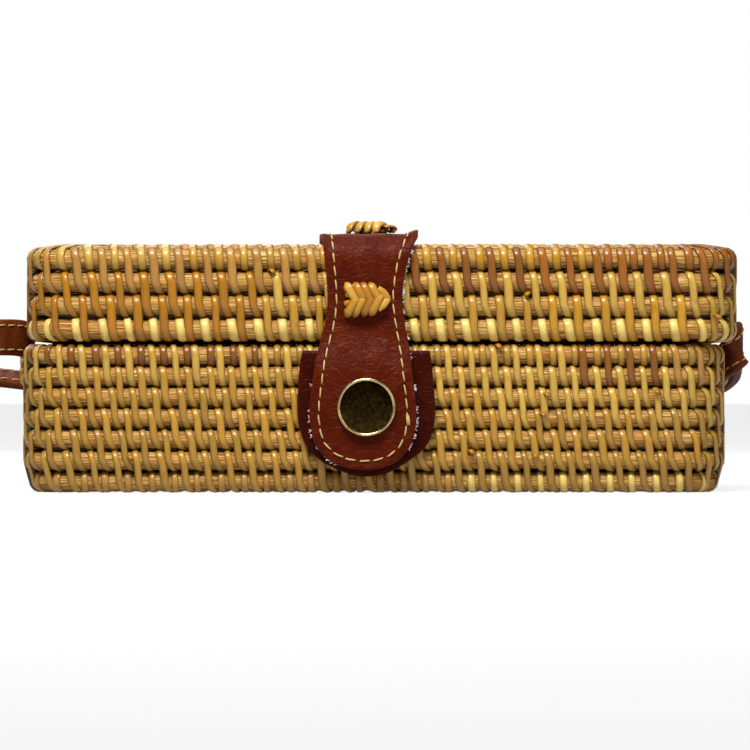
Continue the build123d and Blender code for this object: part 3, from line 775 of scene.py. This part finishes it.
LEAN_SEEN = 0.4       # how much of a strip's lean shows against the next set on their shared rod
LID_LEAN = 3.2
LID_EDGE_BANDS = ((-60, PALE_STRAW), (-20, STRAW), (60, GOLD), (110, ORANGE_BROWN))
LID_BANDS = (
    ((-12, TAN), (44, BROWN), (110, ORANGE_BROWN)),
    ((-30, OCHRE), (110, PALE_STRAW)),
    ((-38, OCHRE), (40, STRAW), (90, GOLD), (110, STRAW)),
)
LID_RIM_BANDS = ((110, CREAM),)
BASE_RIM_BANDS = ((-30, BROWN), (20, OLIVE_STRAW), (110, STRAW))
BASE_SETS = (       # the lean and the bands of each set of strips down the base's walls
    (2.3, ((52, PALE_STRAW), (80, BROWN), (110, TAN))),
    (2.6, ((-20, STRAW), (110, PALE_STRAW))),
    (3.0, ((-40, OLIVE_STRAW), (30, STRAW), (110, PALE_STRAW))),
    (3.4, ((40, STRAW), (110, OLIVE_STRAW))),
    (3.8, ((-30, OLIVE_STRAW), (110, STRAW))),
    (3.8, ((0, STRAW), (110, OLIVE_STRAW))),
)


def weave_lid():
    rows = [Ring(LID_HALF, LID_ROD + LID_CANE, z, LID_ROD) for z in LID_ROWS_Z]
    lid = Basket(LID_HALF, rows, 7.25, 2.35, LID_CANE, 9.5, LID_FACE_Z, LID_FACE_ROD, 1)
    lid.lay_rods(1.7, 0.4, 2.1, 0.9)
    phase = 1.0
    lid.wall(lid.face[0], rows[0], phase - 3.4, 1.0, LID_EDGE_BANDS, "over_edge")
    for i, bands in enumerate(LID_BANDS):
        kind = "to_rim" if rows[i + 1] is rows[-1] else "wall"
        lid.wall(rows[i], rows[i + 1], phase, LID_LEAN, bands, kind)
        phase += lid.pitch / 2 + LEAN_SEEN * LID_LEAN
    lid.wall(rows[-1], rows[-1], phase, 2.6, LID_RIM_BANDS, "to_rim", 1.1)
    lid.close_back(rows[-1], "to_rim", 2.3, 0.95)
    lid.weave_face(2.7, 2.3)
    return lid


def weave_base():
    inset = BASE_ROD + BASE_CANE
    rows = [Ring(BASE_HALF, inset, z, BASE_ROD) for z in BASE_ROWS_Z[:-1]]
    rows.append(Ring(BASE_HALF, inset + BASE_TURN_IN, BASE_ROWS_Z[-1], BASE_ROD))
    base = Basket(BASE_HALF, rows, 6.35, 2.05, BASE_CANE, 10.6, BASE_FACE_Z, BASE_FACE_ROD, -1)
    base.lay_rods(1.3, 0.2, 1.9, 0.5)
    phase = 0.6
    base.wall(rows[0], rows[0], phase - 2.1, 0.7, BASE_RIM_BANDS, "from_rim")
    for i, (lean, bands) in enumerate(BASE_SETS):
        base.wall(rows[i], rows[i + 1], phase, lean, bands, "wall" if i else "from_rim")
        phase += base.pitch / 2 + LEAN_SEEN * lean
    base.wall(rows[-1], base.face[0], phase, 1.2, kind="under_edge")
    base.close_back(rows[0], "from_rim", 2.2, 0.98)
    base.weave_face(3.1, 2.2)
    return base


STUBS = ((95, 49.4), (43.3, 55.8), (47.5, 27.8), (78.8, 28.6), (46.6, 22.3), (45, 10.7), (26.6, 11.9),
         (34.3, 41.2), (-67.8, 10.3), (-28.9, 62.2))
SEAM_Z = 42.1


def lay_stub(parts, x, z):
    """A cut end of cane that pokes out of a gap."""
    lean = rng.uniform(-0.8, 0.8)
    path = ((x, -66.5, z), (x + lean * 0.4, -68.6, z + 0.1), (x + lean, -69.8, z - 0.2),
            (x + lean * 1.9, -70.3, z - 0.9))
    parts.lay(path, (0, -0.3, 1.0), CANE_SECTION, shaded(OCHRE), (1.7, 1.7, 1.6, 1.3), 0.55)


def make_weave():
    baskets = (("lid", weave_lid(), LID_SHIFT, "top"), ("base", weave_base(), (0, 0, 0), "underside"))
    for body, basket, shift, _ in baskets:
        for x, z in STUBS:
            if (z > SEAM_Z) == (body == "lid"):
                lay_stub(basket.walls, x - shift[0], z)
    for body, basket, shift, face in baskets:
        rods = basket.rods.make(f"{body}_weave_rods", ROD, shift)
        sides = basket.walls.make(f"{body}_weave_sides", CANE, shift)
        ride(body, "rattan_weave", rods, sides, basket.strips.make(f"{body}_weave_{face}", CANE, shift))
        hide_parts(f"{body}_basket")


make_weave()

# ---- Leather flap and tab ----
FLAP_THICKNESS = 2.2
FLAP_BACK_Y = -36.0
FLAP_TOP_Z = 71.0
FLAP_BEND = 6.9
FLAP_FRONT_Y = -71.4
FLAP_END_Z = 6.4
TONGUE_Y = -75.0
TONGUE_TOP_Z, TONGUE_SLOPE = 47.0, 15.5     # the leather moves out to the tongue's plane over this height
FLAP_LEFT = ((-15.4, 0), (-15.1, 20), (-14.4, 31), (-13.6, 39.3), (-12.9, 48.8), (-13.5, 55.4), (-15.4, 63.6),
             (-16.5, 69.3), (-17.8, 80.0), (-17.5, 86.0), (-15.9, 91.1), (-12.2, 94.9), (-7.6, 96.9))
FLAP_TIP = (-2.6, 97.5)
FLAP_RIGHT = ((11.2, 0), (11.5, 20), (12.3, 29.5), (11.0, 34.5), (9.0, 40.5), (7.9, 48.8), (8.5, 55.4),
              (9.8, 63.6), (10.5, 69.3), (11.7, 80.0), (11.5, 86.0), (9.9, 91.1), (6.5, 94.9), (2.2, 96.9))
SHEET_COLUMNS = 34
SHEET_SPACING = 0.9
SHEET_EDGE = 0.9      # how far in from its edge a sheet is rounded
SHEET_END = 7         # the end of a sheet, where its rows crowd together
SHEET_END_ROWS = 18


def flap_profile():
    """The leather's middle in side view, from its back end over the lid's edge to the tongue's end."""
    centre_y, centre_z = FLAP_FRONT_Y + FLAP_BEND, FLAP_TOP_Z - FLAP_BEND
    points = [(y, FLAP_TOP_Z) for y in np.linspace(FLAP_BACK_Y, centre_y, 24)[:-1]]
    for turn in np.linspace(math.pi / 2, math.pi, 16):
        points.append((centre_y + FLAP_BEND * math.cos(turn), centre_z + FLAP_BEND * math.sin(turn)))
    for z in np.linspace(centre_z, FLAP_END_Z, 60)[1:]:
        share = float(smooth_step(TONGUE_TOP_Z - z, 0.0, TONGUE_SLOPE))
        points.append((FLAP_FRONT_Y + (TONGUE_Y - FLAP_FRONT_Y) * share, z))
    return np.array(points)


FLAP_LINE = flap_profile()
FLAP_RUN = unit(np.gradient(FLAP_LINE, axis=0))
FLAP_ALONG = lengths_along(FLAP_LINE)


def flap_place(x, station, height):
    """The place at x across and station along the flap, height above the leather's middle."""
    y, z, ty, tz = (np.interp(station, FLAP_ALONG, values) for values in (*FLAP_LINE.T, *FLAP_RUN.T))
    curl = 1.5 * np.exp(-((station - 30.5) / 4.5) ** 2) * smooth_step(x, 7.0, 12.5)
    curl = curl + 0.5 * np.exp(-((station - 30.0) / 5.0) ** 2) * smooth_step(-x, 11.5, 15.5)
    sag = 0.12 * np.sin(x * 0.55 + station * 0.21) + 0.08 * np.sin(station * 0.5 - x * 0.3)
    height = height + curl + sag
    return np.stack([x, y + tz * height, z - ty * height], axis=-1)


TAB_Y, TAB_TOP_Z = -70.1, 39.6


def tab_place(x, station, height):
    """The tab's plane, station measured down from its top edge."""
    sag = 0.05 * np.sin(x * 0.4 + station * 0.33)
    return np.stack([x, TAB_Y - height - sag, TAB_TOP_Z - station], axis=-1)


def outline_of(left, tip, right):
    """The dense outline as (x, station), down the left side, round the tip and up the right side."""
    points = smooth_through([*left, tip, *right[::-1]], 14)
    turn = int(np.argmax(points[:, 1]))
    return points, points[:turn + 1], points[turn:][::-1]


def leather_sheet(name, material, outline, place, thickness, wear):
    """A sheet of leather with rounded edges: its upper grid, lower grid and rim."""
    whole, left, right = outline
    end = whole[:, 1].max()
    crowded = 1 - np.sin(np.linspace(0, math.pi / 2, SHEET_END_ROWS))
    rows = np.concatenate([np.arange(0, end - SHEET_END, SHEET_SPACING), end - SHEET_END * crowded])
    rows[-1] = end - 0.015
    share = np.arange(SHEET_COLUMNS + 1) / SHEET_COLUMNS
    share = 0.35 * share + 0.65 * (0.5 - 0.5 * np.cos(math.pi * share))
    lows, highs = np.interp(rows, left[:, 1], left[:, 0]), np.interp(rows, right[:, 1], right[:, 0])
    x = lows[:, None] + (highs - lows)[:, None] * share[None, :]
    station = np.repeat(rows[:, None], SHEET_COLUMNS + 1, axis=1)
    flat = np.stack([x, station], axis=-1).reshape(-1, 2)
    border = np.vstack([whole, np.linspace(whole[-1], whole[0], 60)])
    distance = np.sqrt(((flat[:, None, :] - border[None, :, :]) ** 2).sum(-1)).min(axis=1)
    inside = np.clip(distance.reshape(x.shape) / SHEET_EDGE, 0, 1)
    height = (0.4 + 0.6 * np.sqrt(1 - (1 - inside) ** 2)) * thickness / 2
    upper, lower = place(x, station, height).reshape(-1, 3), place(x, station, -height).reshape(-1, 3)
    n, m = x.shape
    total = n * m
    quads = grid_quads(n, m)
    ring = [*range(m), *range(2 * m - 1, total, m), *range(total - 2, total - m - 1, -1),
            *range(total - 2 * m, 0, -m)]
    rim = [(a, b, b + total, a + total) for a, b in zip(ring, ring[1:] + ring[:1])]
    tint = np.stack([np.clip(distance / 10, 0, 1), np.zeros(total), np.full(total, wear)], axis=1)
    under = tint + (0, 1, 0)
    parts = MeshParts()
    parts.add(np.vstack([upper, lower]), np.vstack([quads, quads[:, ::-1] + total, rim]),
              np.vstack([flat, flat + 200]), np.vstack([tint, under]))
    return parts.make(name, material, flat=True)


def inner_line(outline, inset, start):
    """The outline moved inwards, from the first station to the end and back."""
    whole = outline[0]
    along = unit(np.gradient(whole, axis=0))
    aside = np.stack([-along[:, 1], along[:, 0]], axis=1) * inset
    middle = whole[:, 0].mean()
    moved = min(whole - aside, whole + aside, key=lambda line: abs(line[10, 0] - middle))
    return moved[moved[:, 1] >= start]


# Tufts of pale fibre that stick out of the flap's raw edge: (side, station, how many)
FUZZ_SPOTS = (
    (1, 36.0, 4), (1, 38.5, 5), (1, 41.5, 4), (1, 44.5, 4), (1, 46.5, 6), (1, 48.2, 6), (1, 50.0, 4),
    (1, 53.0, 3), (1, 57.5, 3), (1, 60.5, 4), (1, 66.0, 3), (1, 74.2, 9), (1, 81.0, 7), (1, 84.0, 9),
    (1, 86.0, 6), (1, 88.0, 8), (1, 91.0, 8), (-1, 74.0, 2), (-1, 81.5, 3), (-1, 83.2, 4), (-1, 86.5, 4),
    (-1, 88.0, 3), (-1, 91.5, 3), (-1, 94.6, 10), (-1, 95.8, 5), (-1, 43.0, 2), (-1, 46.0, 2),
)


def add_fuzz(parts, outline):
    steps = np.linspace(0, 1, 5)
    for side, station, count in FUZZ_SPOTS:
        curve = outline[2] if side > 0 else outline[1]
        for _ in range(count):
            start = station + rng.uniform(-0.8, 0.8)
            x = float(np.interp(start, curve[:, 1], curve[:, 0]))
            reach = rng.uniform(0.35, 1.0)
            bend = rng.uniform(-0.8, 0.8)
            heights = 0.2 + 0.5 * np.sin(steps * 2.5) * rng.uniform(0.1, 1.0)
            path = flap_place(x + side * (reach * steps - 0.25), start + bend * steps ** 2, heights)
            parts.lay(path, (0, -1.0, 0.2), round_section(4), (1, 1, 1), 0.09, 0.09)


STITCH_LINE_INSET, STITCH_LINE_START = 2.55, 22.0


def make_flap():
    outline = outline_of(FLAP_LEFT, FLAP_TIP, FLAP_RIGHT)
    flap = leather_sheet("flap", FLAP_LEATHER, outline, flap_place, FLAP_THICKNESS, 1.0)
    x, station = inner_line(outline, STITCH_LINE_INSET, STITCH_LINE_START).T
    line = flap_place(x, station, FLAP_THICKNESS / 2)
    above = flap_place(x, station, FLAP_THICKNESS / 2 + 1.0)
    stitches = MeshParts()
    stitch_along(stitches, line, unit(above - line), 3.85, 3.2, 0.24, 0.1, 0.12)
    for offset in (-0.22, 0.22):       # the seam's end is sewn over twice
        ends = flap_place(np.array([9.3, 9.7]) + offset, np.array([82.2, 86.0]), FLAP_THICKNESS / 2 + 0.1)
        stitch_along(stitches, np.linspace(*ends, 12), np.tile([0, -1.0, 0], (12, 1)), 3.0, 2.9, 0.3)
    thread = stitches.make("flap_stitches", THREAD)
    tufts = MeshParts()
    add_fuzz(tufts, outline)
    fuzz = tufts.make("flap_edge_fibres", FUZZ)
    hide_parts("flap_upper", "flap_tongue")
    for piece in (flap, thread, fuzz):
        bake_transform(piece)


TAB_THICKNESS = 1.6
TAB_LEFT = ((-19.8, 0), (-20.6, 4.0), (-21.0, 9.0), (-21.3, 15.5), (-20.8, 21.0), (-18.8, 26.4),
            (-15.0, 30.4), (-8.4, 33.8))
TAB_TIP = (-2.1, 35.0)
TAB_RIGHT = ((15.5, 0), (16.1, 4.0), (16.5, 9.0), (17.0, 15.5), (16.6, 21.0), (14.6, 26.4), (10.0, 30.4),
             (4.3, 33.8))


def make_tab():
    outline = outline_of(TAB_LEFT, TAB_TIP, TAB_RIGHT)
    tab = leather_sheet("backing_tab_leather", TAB_SHADED_LEATHER, outline, tab_place, TAB_THICKNESS, 0.7)
    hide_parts("backing_tab")
    ride("base", "tab_leather", tab)


make_flap()
make_tab()

# ---- Plaited ties ----
PLAIT_SECTION = np.array([(-0.5, -0.4), (-0.48, 0.1), (-0.27, 0.42), (0.0, 0.5), (0.27, 0.42), (0.48, 0.1),
                          (0.5, -0.4)])
PLAIT_COLUMNS = 4
TIE_TINTS = (srgb(196, 138, 30), srgb(178, 116, 16), srgb(212, 160, 58))
# Name, node, body, then the origin, the directions along, across and outward, and width, height and rise.
TIES = (
    ("front_tie_plait", "flap_front_tie", "lid", ((-1.9, -72.6, 53.8), (1, 0, 0.03), (0, 0, 1), (0, -1, 0)),
     10.8, 7.8, 2.6),
    ("top_tie_plait", "flap_top_tie", "lid", ((-0.7, -49.0, 71.9), (1, 0, 0), (0, 1, 0), (0, 0, 1)),
     12.0, 9.0, 3.5),
    ("tab_tie_plait", "tab_tie", "base", ((-2.1, -71.0, 33.1), (1, 0, 0), (0, 0, 1), (0, -1, 0)),
     11.6, 4.0, 1.2),
    ("strap_tie_plait_left", "strap_tie_left", "base", ((-101.3, 32, 35.2), (0, 1, 0), (0, 0, 1), (-1, 0, 0)),
     12.0, 9.0, 1.3),
    ("strap_tie_plait_right", "strap_tie_right", "base", ((101.3, 32, 35.2), (0, 1, 0), (0, 0, 1), (1, 0, 0)),
     12.0, 9.0, 1.3),
)


def tie_path(axes, steps, side=1):
    """Places from (along, across, outward) in the tie's own directions, on either side of its middle."""
    return axes[0] + np.array(steps, float) * (1, side, 1) @ axes[1:]


def plait(parts, axes, width, height, rise):
    """Chevrons that point along: each arm starts under the edge, crosses and tucks under the next."""
    step, half = width / (PLAIT_COLUMNS + 0.9), height / 2
    origin, outward = axes[0], axes[3]
    for k in range(PLAIT_COLUMNS):
        for side in (1, -1):
            start = -width / 2 + step * (k + 0.15) + rng.uniform(-0.15, 0.15)
            arm = ((start - 0.9, half * 0.72, 0.05), (start - 0.75, half * 1.0, rise * 0.35),
                   (start - 0.2, half * 0.92, rise * 0.8), (start + 0.7, half * 0.5, rise * 1.0),
                   (start + 1.6, half * 0.08, rise * 0.98), (start + 2.3, -half * 0.2, rise * 0.75),
                   (start + 2.7, -half * 0.34, rise * 0.4))
            path = tie_path(axes, arm, side) - outward * (0.12 if side > 0 else 0.0)
            path = smooth_through(path, 4)
            up = unit(path - origin - outward * (rise * 0.2)) * 0.5 + outward
            up[:4] = unit(path[:4] - origin)
            share = np.linspace(0, 1, len(path))
            wide = np.interp(share, (0, 0.3, 0.8, 1), (0.8, 1.0, 0.95, 0.6)) * step * 1.12
            # Painted shade at each arm's edges and tucked ends.
            tint = strip_shade(shaded(rng.choice(TIE_TINTS), 0.12), len(path))
            parts.lay(path, up, PLAIT_SECTION, tint, wide, 0.95, rng.uniform(0, UV_RUN))
    for side in (1, -1):
        tip = ((width / 2 - 2.4, half * 0.7, rise * 0.7), (width / 2 - 0.9, half * 0.45, rise * 0.75),
               (width / 2 + 0.2, 0.0, rise * 0.6), (width / 2 - 0.5, -half * 0.3, rise * 0.3))
        path = smooth_through(tie_path(axes, tip, side), 4)
        parts.lay(path, outward, PLAIT_SECTION, shaded(rng.choice(TIE_TINTS)), step * 0.9, 0.9,
                  rng.uniform(0, UV_RUN))
    # A dark cord under the arms. Its colour, ochre at a quarter, is painted shade seen through the plait's
    # gaps.
    core = [(u, 0, rise * 0.35) for u in np.linspace(-width / 2 + 1.2, width / 2 - 1.6, 8)]
    fat = np.interp(np.linspace(0, 1, 8), (0, 0.15, 0.85, 1), (0.6, 1, 1, 0.5))
    parts.lay(tie_path(axes, core), outward, round_section(10), tuple(c * 0.25 for c in OCHRE),
              half * 0.8 * fat, rise * 0.38 * fat)


def loose_ends(parts, axes, width, height):
    """Short cut ends at the plait's blunt end."""
    for across in (-0.42, -0.12, 0.2, 0.44):
        reach = rng.uniform(0.5, 1.5)
        steps = [(u - width / 2, across * height + rng.uniform(-0.3, 0.3), w)
                 for u, w in ((2.0, 1.2), (0.6, 1.5), (-reach * 0.6, 0.9))]
        parts.lay(smooth_through(tie_path(axes, steps), 3), axes[3], PLAIT_SECTION, shaded(GOLD), 1.5, 0.6)


def make_tie(name, node, body, axes, width, height, rise):
    parts, axes = MeshParts(), np.array(axes, float)
    plait(parts, axes, width, height, rise)
    loose_ends(parts, axes, width, height)
    tie = parts.make(name, CANE)
    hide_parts(node)
    ride(body, "rattan_tie", tie)


for tie_values in TIES:
    make_tie(*tie_values)

# ---- Hinge ties ----
HINGE_X = 56.0
HINGE_STRANDS = 3
HINGE_PITCH = 3.1
LOOP_LOW_Z, LOOP_HIGH_Z = 35.75, 47.75
LOOP_NEAR_Y, LOOP_FAR_Y = 61.45, 70.3
BINDING_Y, BINDING_ROWS_Z = 70.4, (40.6, 42.6)


def squared(value, power):
    """A sine or cosine that turns a circle into a rounded square."""
    return np.copysign(np.abs(value) ** power, value)


def hinge_loop(parts, x, tint):
    """One closed strand through both rims."""
    turn = np.linspace(0, 2 * math.pi, 49)[:-1]
    centre = np.array([x, (LOOP_NEAR_Y + LOOP_FAR_Y) / 2, (LOOP_LOW_Z + LOOP_HIGH_Z) / 2])
    path = centre + np.stack([0.15 * np.sin(3 * turn),
                              (LOOP_FAR_Y - LOOP_NEAR_Y) / 2 * squared(np.cos(turn), 0.5),
                              (LOOP_HIGH_Z - LOOP_LOW_Z) / 2 * squared(np.sin(turn), 0.5)], axis=1)
    parts.lay(path, unit(path - centre), round_section(8), tint, 1.4, 1.4, rng.uniform(0, 300), True)


def hinge_binding(parts, x):
    """Cane bound round the strands at the seam behind."""
    turn = np.linspace(0, 2 * math.pi, 33)[:-1]
    bend = np.stack([5.0 * squared(np.cos(turn), 0.6), 1.35 * squared(np.sin(turn), 0.7), 0.5 * np.sin(turn)],
                    axis=1)
    for z in BINDING_ROWS_Z:
        parts.lay(bend + (x, BINDING_Y, z), unit(bend), CANE_SECTION, shaded(GOLD), 2.0, 0.55, closed=True)


def make_hinge_tie(name, node, x):
    parts = MeshParts()
    for k in range(HINGE_STRANDS):
        hinge_loop(parts, x + (k - 1) * HINGE_PITCH, shaded(rng.choice(TIE_TINTS)))
    hinge_binding(parts, x)
    tie = parts.make(name, CANE)
    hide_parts(node)
    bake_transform(tie)


make_hinge_tie("hinge_loops_left", "hinge_tie_left", -HINGE_X)
make_hinge_tie("hinge_loops_right", "hinge_tie_right", HINGE_X)

# ---- Snap ----
SNAP_CENTRE = (-2.1, 23.9)
CAP_FACE = ((0.0, 77.52), (2.5, 77.52), (5.0, 77.5), (6.6, 77.45), (7.25, 77.4), (7.5, 77.3))
CAP_RIM = ((7.15, 77.25), (7.24, 77.75), (7.45, 78.0), (7.75, 78.06), (7.98, 77.9), (8.14, 77.5),
           (8.18, 77.0), (8.1, 76.5), (7.7, 76.2), (7.0, 76.3), (7.0, 77.1))
LATHE_TURNS = 96


def lathe(name, profile, material, closed):
    """Turns (radius, distance forward) about the snap's own axis."""
    count = len(profile)
    points, uvs = [], []
    for i in range(LATHE_TURNS):
        angle = 2 * math.pi * i / LATHE_TURNS
        for k, (radius, forward) in enumerate(profile):
            radius = max(radius, 0.02)
            points.append((SNAP_CENTRE[0] + radius * math.cos(angle), -forward,
                           SNAP_CENTRE[1] + radius * math.sin(angle)))
            uvs.append((i / LATHE_TURNS, k / count))
    middle = [] if closed else [[i * count for i in range(LATHE_TURNS)]]
    parts = MeshParts()
    parts.add(points, grid_quads(LATHE_TURNS, count, True, closed), uvs, (1, 1, 1), middle)
    return parts.make(name, material)


def make_snap():
    rim = lathe("snap_cap_rim", CAP_RIM, BRASS, True)
    # The face's dark colour is a painted reflection on the brass.
    face = lathe("snap_cap_face", CAP_FACE, DARK_REFLECTION_BRASS, False)
    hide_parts("snap_cap")
    ride("flap", "snap_brass", rim, face)
    for node in ("snap_socket", "snap_stud", "snap_stud_back"):
        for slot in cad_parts[node].material_slots:
            slot.material = BRASS


make_snap()

# ---- Linings ----
LINING_INSET = 6.75
LINING_THICKNESS = 0.7
TRAY_ROUND = 3.0
TRAY_POINTS = 220
HEM_ROD = 0.85


def tray(name, half, rim_z, floor_z, shift):
    """A cloth tray from its rim along the walls and over the floor, closed across the middle."""
    away = 1 if floor_z < rim_z else -1
    profile = [(0.0, rim_z + (floor_z - rim_z) * share) for share in (0, 0.35, 0.7)]
    for turn in np.linspace(0, math.pi / 2, 5):
        inset, rise = TRAY_ROUND * (1 - math.cos(turn)), TRAY_ROUND * (1 - math.sin(turn))
        profile.append((inset, floor_z + away * rise))
    depth = half[1] - LINING_INSET
    profile += [(inset, floor_z) for inset in np.linspace(8, depth - CORE_RADIUS - 0.2, 14)]
    points, uvs = [], []
    for k, (inset, z) in enumerate(profile):
        ring = Ring(half, LINING_INSET + inset, z, 1.0)
        for i in range(TRAY_POINTS):
            x, y, dx, dy = ring.at(i * ring.length / TRAY_POINTS)
            pull = 0.25 * math.sin(i * 0.9) * (1 if abs(dx * dy) > 0.05 else 0.25)
            points.append((x + dx * pull, y + dy * pull, z))
            uvs.append((i, k * 4))
    last = len(points) - TRAY_POINTS
    middle = []
    for i in range(TRAY_POINTS // 2):
        across = TRAY_POINTS - i
        corners = dict.fromkeys((i, i + 1, across - 1, across % TRAY_POINTS))
        middle.append([last + corner for corner in corners])
    parts = MeshParts()
    parts.add(points, grid_quads(len(profile), TRAY_POINTS, False, True), uvs, (1, 1, 1), middle)
    made = parts.make(name, COTTON, shift)
    solid = made.modifiers.new("thickness", "SOLIDIFY")
    solid.thickness = LINING_THICKNESS * MM
    solid.offset = 0
    return made


def hem(name, half, z, shift):
    """The turned edge of the lining."""
    parts = MeshParts()
    lay_rod(parts, Ring(half, LINING_INSET + 0.15, z, HEM_ROD), (1, 0), 0.6)
    return parts.make(name, COTTON, shift)


def make_linings():
    base = tray("base_lining_cotton", BASE_HALF, 37.6, 7.6, (0, 0, 0))
    lid = tray("lid_lining_cotton", LID_HALF, 46.0, 62.0, LID_SHIFT)
    base_hem = hem("base_lining_hem", BASE_HALF, 37.4, (0, 0, 0))
    lid_hem = hem("lid_lining_hem", LID_HALF, 46.3, LID_SHIFT)
    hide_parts("base_lining")
    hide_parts("lid_lining")
    ride("base", "lining_cloth", base, base_hem)
    ride("lid", "lining_cloth", lid, lid_hem)


make_linings()

# ---- Floor and light ----
WORLD_LIGHT = 0.13
FLOOR_REACH = 6.0
FLOOR_SEEN = 0.80      # the floor's own brightness where it is seen
FLOOR_GLOW = 0.22      # and as it lights the bag
# Name, place, target, width, height and power.
LIGHTS = (
    ("key", (-0.12, -0.55, 0.85), (0, -0.05, 0.03), 0.4, 0.28, 12.0),
    ("fill", (0.7, -0.6, 0.35), (0, 0, 0.03), 0.5, 0.5, 1.2),
    ("top", (0.0, 0.1, 0.9), (0, 0, 0.05), 0.6, 0.6, 2.0),
    ("rear", (-0.3, 0.8, 0.4), (0, 0.07, 0.03), 0.7, 0.6, 1.8),
)


def make_floor():
    mesh = bpy.data.meshes.new("floor")
    corners = [(x * FLOOR_REACH, y * FLOOR_REACH, 0) for x, y in ((-1, -1), (1, -1), (1, 1), (-1, 1))]
    mesh.from_pydata(corners, [], [(0, 1, 2, 3)])
    paint = Paint("floor_white")
    mottle = paint.noise(paint.place(), 3.0, 2.0)
    rays = paint.node("LightPath").outputs["Is Camera Ray"]
    glow = paint.add(paint.times(rays, FLOOR_SEEN - FLOOR_GLOW), FLOOR_GLOW)
    paint.set(Base_Color=paint.mix(mottle, (0.3, 0.3, 0.3), (0.32, 0.32, 0.32)), Roughness=0.9,
              Emission_Color=(1.0, 1.0, 1.0), Emission_Strength=glow)
    mesh.materials.append(paint.material)
    add_to_scene(bpy.data.objects.new("floor", mesh))


def make_light(name, place, target, width, height, power):
    data = bpy.data.lights.new(name, "AREA")
    data.shape = "RECTANGLE"
    data.size, data.size_y = width, height
    data.energy = power
    light = add_to_scene(bpy.data.objects.new(name, data))
    light.location = place
    light.rotation_mode = "QUATERNION"
    light.rotation_quaternion = (Vector(target) - Vector(place)).to_track_quat("-Z", "Y")


def make_world():
    """White where it is seen, and a softer light on the bag."""
    world = bpy.data.worlds.new("white_surround")
    bpy.context.scene.world = world
    world.use_nodes = True
    back = world.node_tree.nodes["Background"]
    rays = world.node_tree.nodes.new("ShaderNodeLightPath")
    level = world.node_tree.nodes.new("ShaderNodeMapRange")
    level.inputs["To Min"].default_value = WORLD_LIGHT
    level.inputs["To Max"].default_value = 1.0
    world.node_tree.links.new(rays.outputs["Is Camera Ray"], level.inputs["Value"])
    world.node_tree.links.new(level.outputs[0], back.inputs["Strength"])
    back.inputs["Color"].default_value = (1, 1, 1, 1)


make_floor()
for light_values in LIGHTS:
    make_light(*light_values)
make_world()
